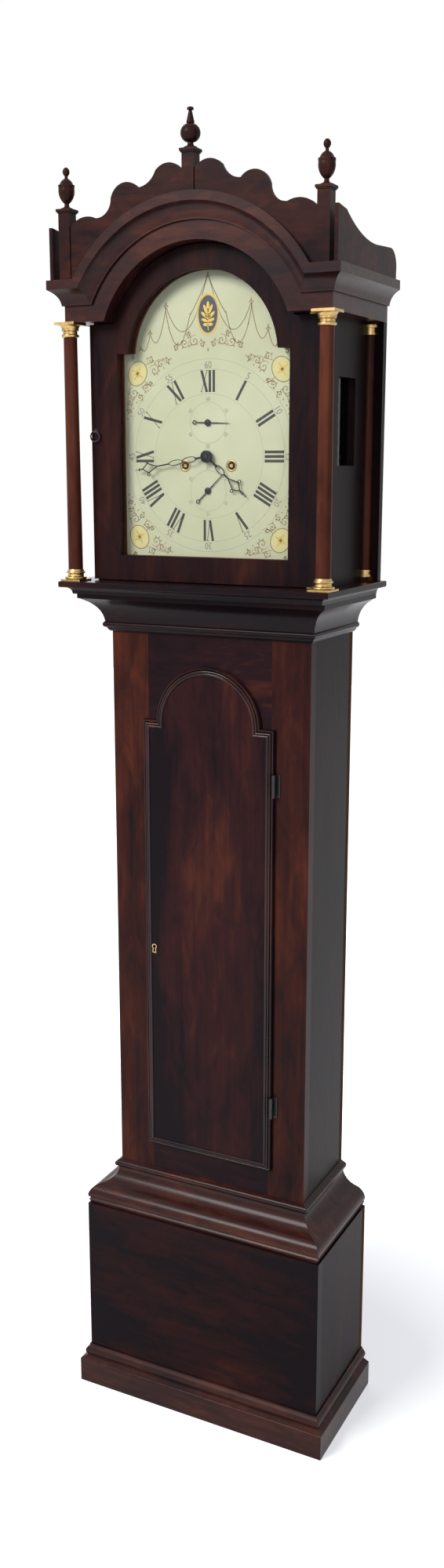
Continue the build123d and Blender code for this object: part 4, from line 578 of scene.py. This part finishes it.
def swag(ink, a, b, sag, bead=1.5, step=3.3):
    """Chain of beads that hangs as a parabola between two points."""
    a, b = np.array(a, float), np.array(b, float)
    s = np.linspace(0, 1, 80)
    pts = a + (b - a) * s[:, None]
    pts[:, 1] -= sag * 4 * s * (1 - s)
    length = np.concatenate([[0], np.cumsum(np.linalg.norm(np.diff(pts, axis=0), axis=1))])
    marks = np.arange(step / 2, length[-1], step)
    xs = np.interp(marks, length, pts[:, 0])
    zs = np.interp(marks, length, pts[:, 1])
    for i in range(len(xs)):
        j = min(i + 1, len(xs) - 1)
        k = max(i - 1, 0)
        angle = math.atan2(zs[j] - zs[k], xs[j] - xs[k])
        ink.ellipse(xs[i], zs[i], bead * 1.05, bead * 0.62, angle, 8)
    ink.stroke(pts, 0.3)


def arch_ornament(ink):
    """Garlands from five points across the arch, with scrolls under the medallion."""
    for sx in (1, -1):
        swag(ink, (1.5 * sx, 272), (74 * sx, 229), 58)
        swag(ink, (1.0 * sx, 270), (31 * sx, 215), 3)
        swag(ink, (74 * sx, 229), (103 * sx, 189), 30)
        swag(ink, (75.5 * sx, 229), (68 * sx, 196), 5)
        swag(ink, (31 * sx, 218), (70 * sx, 200), 38)
        swag(ink, (103 * sx, 189), (119 * sx, 167), 12)
        for x, z in ((74, 231), (103, 191), (120, 167)):
            ink.ellipse(x * sx, z + 2, 1.2, 3.0, 0, 10)
            ink.ellipse((x + 2.4) * sx, z - 1, 2.4, 1.0, -0.7 * sx, 10)
            ink.ellipse((x - 2.4) * sx, z - 1, 2.4, 1.0, 0.7 * sx, 10)
        for x, z, start, turns, r0, r1, flip in (
                (24, 176, 1.9, 1.4, 9.0, 1.2, -1), (41, 173, 2.6, 1.35, 8.0, 1.2, 1),
                (11, 171, 0.4, 1.2, 5.5, 1.0, 1), (55, 167, 2.8, 1.2, 5.5, 1.0, -1),
                (33, 186, 4.2, 1.1, 4.5, 1.0, 1)):
            pts = curl(x, z, start, turns, r0, r1, flip)
            pts[:, 0] *= sx
            ink.stroke(pts, taper(len(pts), 1.6))
            ink.ellipse(pts[-1][0], pts[-1][1], 1.3, 1.3, 0, 10)
            for k in (5, 12, 19):
                mid = np.array([x * sx, z])
                out = pts[k] + (pts[k] - mid) * 0.3
                lean = math.atan2(out[1] - z, out[0] - x * sx) + 0.6 * sx
                ink.ellipse(out[0], out[1], 2.2, 0.9, lean, 10)
    ink.ellipse(0, 273, 1.6, 4.0, 0, 12)
    ink.ellipse(0, 162, 1.2, 3.0, 0, 12)


def medallion():
    """Dark oval with a beaded gilt edge and a plain spray of leaves with a flower."""
    field = Ink(1)
    field.ellipse(0, MEDALLION_UP, 17.5, 28.5, 0, 64)
    field.done("dial_medallion_field", navy)
    edge = Ink(2)
    for i in range(44):
        t = 2 * math.pi * i / 44
        edge.ellipse(19.3 * math.cos(t), MEDALLION_UP + 30.3 * math.sin(t), 1.6, 1.6, 0, 10)
    edge.ring(0, MEDALLION_UP, 16.9, 27.9, 0.7, 72)
    for side in (1, -1):
        for k, (x, z, long, angle) in enumerate(((4.5, 222, 7.5, 1.15), (6.8, 214, 6.5, 0.75),
                                                 (6.0, 206, 5.5, 0.35), (4.2, 199.5, 4.5, 0.0))):
            edge.ellipse(x * side, z, long, 2.3, angle if side > 0 else math.pi - angle, 16)
    edge.ellipse(0, 226, 2.6, 8.0, 0, 16)
    edge.stroke([(0, 224), (0.4, 210), (0, 196), (0.6, 190)], [1.6, 1.6, 1.4, 0.8])
    for k in range(6):
        t = 2 * math.pi * k / 6
        edge.ellipse(2.6 * math.cos(t), 212 + 2.6 * math.sin(t), 2.2, 1.4, t, 10)
    edge.done("dial_medallion_gilt", gilt)


def ornament():
    """Every painted ornament of the dial."""
    scrolls = Ink(1)
    for sx in (1, -1):
        for sz in (1, -1):
            corner_scrolls(scrolls, sx, sz)
    arch_ornament(scrolls)
    scrolls.done("dial_scrolls", brown_ink)
    gold, fill, rose = Ink(3), Ink(2), Ink(3)
    dial_ovals(gold, fill, rose)
    gold.done("dial_oval_edges", brown_ink)
    fill.done("dial_oval_fields", pale_gilt)
    rose.done("dial_rosettes", gilt)
    medallion()


def ring_faces(rings, count):
    """Quads between neighbouring closed rings of points, as an array of (ring, point, 4)."""
    here = np.arange(count)
    ahead = (here + 1) % count
    row = np.arange(rings - 1)[:, None] * count
    return np.stack([row + here, row + ahead, row + count + ahead, row + count + here], -1)


def lathed(name, profile, x, z, mat, body, steps=48):
    """Solid of revolution about a line towards the viewer; profile points are (radius, depth).
    Vertex = (x + r cos t, depth, z + r sin t); a last profile point of no radius closes it as a fan."""
    profile = np.asarray(profile, float)
    domed = profile[-1, 0] == 0
    rings = profile[:-1] if domed else profile
    t = np.arange(steps) * 2 * np.pi / steps
    across = x + rings[:, :1] * np.cos(t)
    up = z + rings[:, :1] * np.sin(t)
    depth = np.broadcast_to(rings[:, 1:], across.shape)
    verts = np.stack(P(across, depth, up), -1).reshape(-1, 3).tolist()
    faces = ring_faces(len(rings), steps).reshape(-1, 4).tolist()
    if domed:
        rim = len(verts) - steps
        verts.append(P(x, profile[-1, 1], z))
        faces += [[rim + i, rim + (i + 1) % steps, rim + steps] for i in range(steps)]
    return add_mesh(name, verts, faces, mat, body, smooth=True)


def dial_fittings():
    """Collets round the winding holes, domed bosses on the hands."""
    for tag, x in (("right", WIND_X), ("left", -WIND_X)):
        lathed(f"winding_collet_{tag}",
               [(6.0, 176.02), (9.2, 176.02), (9.2, 176.5), (8.4, 176.9), (6.6, 176.9), (6.0, 176.5),
                (6.0, 176.02)],
               x, WIND_Z, brass_aged, "case")
    lathed("minute_boss",
           [(9.0, 185.25), (9.0, 185.5), (7.6, 186.3), (4.6, 186.9), (4.6, 187.3), (2.2, 187.6),
            (0, 187.65)],
           0, DIAL_Z, blued, "minute_hand_body")
    little_boss = [(5.2, 178.45), (5.2, 178.7), (3.4, 179.3), (0, 179.6)]
    lathed("seconds_boss", little_boss, 0, SECONDS_Z, blued, "escape_body", 32)
    lathed("date_boss", little_boss, 0, DATE_Z, blued, "date_hand_body", 32)


def half_round(o0, o1, low, rise, steps=7):
    """Profile of one ridge: o = o0 + w (1 - cos t) / 2, h = low + rise sin t, t from 0 to pi."""
    t = np.linspace(0, np.pi, steps + 1)
    return np.stack([o0 + (o1 - o0) * (1 - np.cos(t)) / 2, low + rise * np.sin(t)], 1)


def door_outline(offset, arc=57):
    """Break-arch outline of the trunk door moved inwards, anticlockwise from the lower left.
    The arch is z = centre + r cos t, x = r sin t, and ends where the moved shoulder cuts it."""
    half = DOOR_HALF - offset
    low = DOOR_BOTTOM + offset
    high = DOOR_SHOULDER - offset
    radius = DOOR_ARCH_R - offset
    reach = math.acos((high - DOOR_ARCH_Z) / radius)
    t = np.linspace(reach, -reach, arc)
    arch = np.stack([radius * np.sin(t), DOOR_ARCH_Z + radius * np.cos(t)], 1)
    hinge_side = [(half, z + way * HINGE_CLEAR) for z in HINGE_Z for way in (-1, 1)]
    return np.concatenate([[(-half, low), (half, low)], hinge_side, [(half, high)], arch, [(-half, high)]])


def door_moulding():
    """Three round ridges that follow the trunk door's edge; the outer one stops at the hinges."""
    lip_rise = DOOR_FACE - DOOR_LIP_FACE + 0.4
    ridges = [half_round(0.5, 4.8, DOOR_LIP_FACE - 0.1, lip_rise),
              half_round(5.2, 8.8, DOOR_FACE - 0.2, 1.5), half_round(8.9, 13.3, DOOR_FACE - 0.2, 2.6)]
    hinge_spans = [2, 4]
    verts, faces = [], []
    for k, profile in enumerate(ridges):
        lines = np.array([door_outline(offset) for offset, _ in profile])
        depth = np.broadcast_to(profile[:, 1:], lines.shape[:2])
        quads = ring_faces(len(lines), lines.shape[1]) + len(verts)
        if k == 0:
            quads = np.delete(quads, hinge_spans, axis=1)
        verts += np.stack(P(lines[..., 0], depth, lines[..., 1]), -1).reshape(-1, 3).tolist()
        faces += quads.reshape(-1, 4).tolist()
    return add_mesh("trunk_door_moulding", verts, faces, trim_wood, "trunk_door_leaf")


hour_numerals()
minute_figures()
dial_circles()
ornament()
dial_fittings()
door_moulding()


# Room, light and camera, in metres
MIDDLE_Z = 1.2
CAMERA_PLACE = (1.028, -2.0435, 1.698)
CAMERA_DOWN, CAMERA_LEFT = 13.08, 26.73


def seen_directly(nodes, links):
    """1 for the camera and for what glossy and clear surfaces show, 0 for the light on matt ones."""
    path = nodes.new("ShaderNodeLightPath")
    seen = maths(nodes, links, "MAXIMUM", path.outputs["Is Camera Ray"], path.outputs["Is Glossy Ray"])
    return maths(nodes, links, "MAXIMUM", seen, path.outputs["Is Transmission Ray"])


def floor_white():
    """White floor that holds a faint shadow near the clock and fades into the white beyond."""
    mat = bpy.data.materials.new("floor_white")
    mat.use_nodes = True
    nodes = mat.node_tree.nodes
    links = mat.node_tree.links
    nodes.clear()
    out = nodes.new("ShaderNodeOutputMaterial")
    path = seen_directly(nodes, links)
    away = nodes.new("ShaderNodeVectorMath")
    away.operation = "LENGTH"
    links.new(nodes.new("ShaderNodeTexCoord").outputs["Object"], away.inputs[0])
    grown = maths(nodes, links, "MAXIMUM", maths(nodes, links, "SUBTRACT", away.outputs["Value"], 0.4), 0.0)
    glow = maths(nodes, links, "ADD", maths(nodes, links, "MINIMUM", grown, 0.7), 0.5)
    matt = nodes.new("ShaderNodeBsdfDiffuse")
    bright = maths(nodes, links, "ADD", maths(nodes, links, "MULTIPLY", path, 0.55), 0.35)
    links.new(bright, matt.inputs["Color"])
    light = nodes.new("ShaderNodeEmission")
    links.new(maths(nodes, links, "MULTIPLY", glow, path), light.inputs["Strength"])
    both = nodes.new("ShaderNodeAddShader")
    links.new(matt.outputs[0], both.inputs[0])
    links.new(light.outputs[0], both.inputs[1])
    links.new(both.outputs[0], out.inputs["Surface"])
    return mat


def stage_floor():
    """Plain pale floor under the clock."""
    mesh = bpy.data.meshes.new("floor")
    reach = 8.0
    mesh.from_pydata([(-reach, -reach, 0), (reach, -reach, 0), (reach, reach, 0), (-reach, reach, 0)],
                     [], [(0, 1, 2, 3)])
    obj = bpy.data.objects.new("floor", mesh)
    bpy.context.scene.collection.objects.link(obj)
    mesh.materials.append(floor_white())


def area_light(name, place, size, power, colour=(1.0, 1.0, 1.0)):
    """Square soft light that points at the middle of the clock."""
    data = bpy.data.lights.new(name, "AREA")
    data.size = size
    data.energy = power
    data.color = colour
    obj = bpy.data.objects.new(name, data)
    obj.location = place
    obj.rotation_euler = (Vector((0, 0, MIDDLE_Z)) - Vector(place)).to_track_quat("-Z", "Y").to_euler()
    bpy.context.scene.collection.objects.link(obj)


def world_light():
    """Even pale blue room light; the camera, glossy surfaces and glass see plain white instead."""
    world = bpy.data.worlds.new("studio")
    bpy.context.scene.world = world
    world.use_nodes = True
    nodes = world.node_tree.nodes
    links = world.node_tree.links
    nodes.clear()
    out = nodes.new("ShaderNodeOutputWorld")
    room = nodes.new("ShaderNodeBackground")
    room.inputs["Color"].default_value = (0.76, 0.82, 1.0, 1.0)
    room.inputs["Strength"].default_value = 0.30
    white = nodes.new("ShaderNodeBackground")
    white.inputs["Color"].default_value = (1.0, 1.0, 1.0, 1.0)
    white.inputs["Strength"].default_value = 1.0
    mix = nodes.new("ShaderNodeMixShader")
    links.new(seen_directly(nodes, links), mix.inputs["Fac"])
    links.new(room.outputs[0], mix.inputs[1])
    links.new(white.outputs[0], mix.inputs[2])
    links.new(mix.outputs[0], out.inputs["Surface"])


def camera():
    """The photograph's camera: 31.6 mm lens on a 36 mm long side."""
    data = bpy.data.cameras.new("camera")
    data.sensor_width = 36.0
    data.lens = 31.64
    data.clip_end = 50.0
    obj = bpy.data.objects.new("camera", data)
    obj.location = CAMERA_PLACE
    obj.rotation_euler = (math.radians(90 - CAMERA_DOWN), 0.0, math.radians(CAMERA_LEFT))
    bpy.context.scene.collection.objects.link(obj)
    bpy.context.scene.camera = obj


stage_floor()
world_light()
area_light("key", (-1.4, -3.2, 3.8), 1.6, 145.0, (1.0, 0.98, 0.95))
area_light("fill", (2.2, -2.8, 2.4), 2.0, 22.0, (0.95, 0.97, 1.0))
area_light("back", (-2.0, 3.2, 2.6), 2.0, 18.0)
camera()

bpy.context.scene.view_settings.view_transform = "Standard"
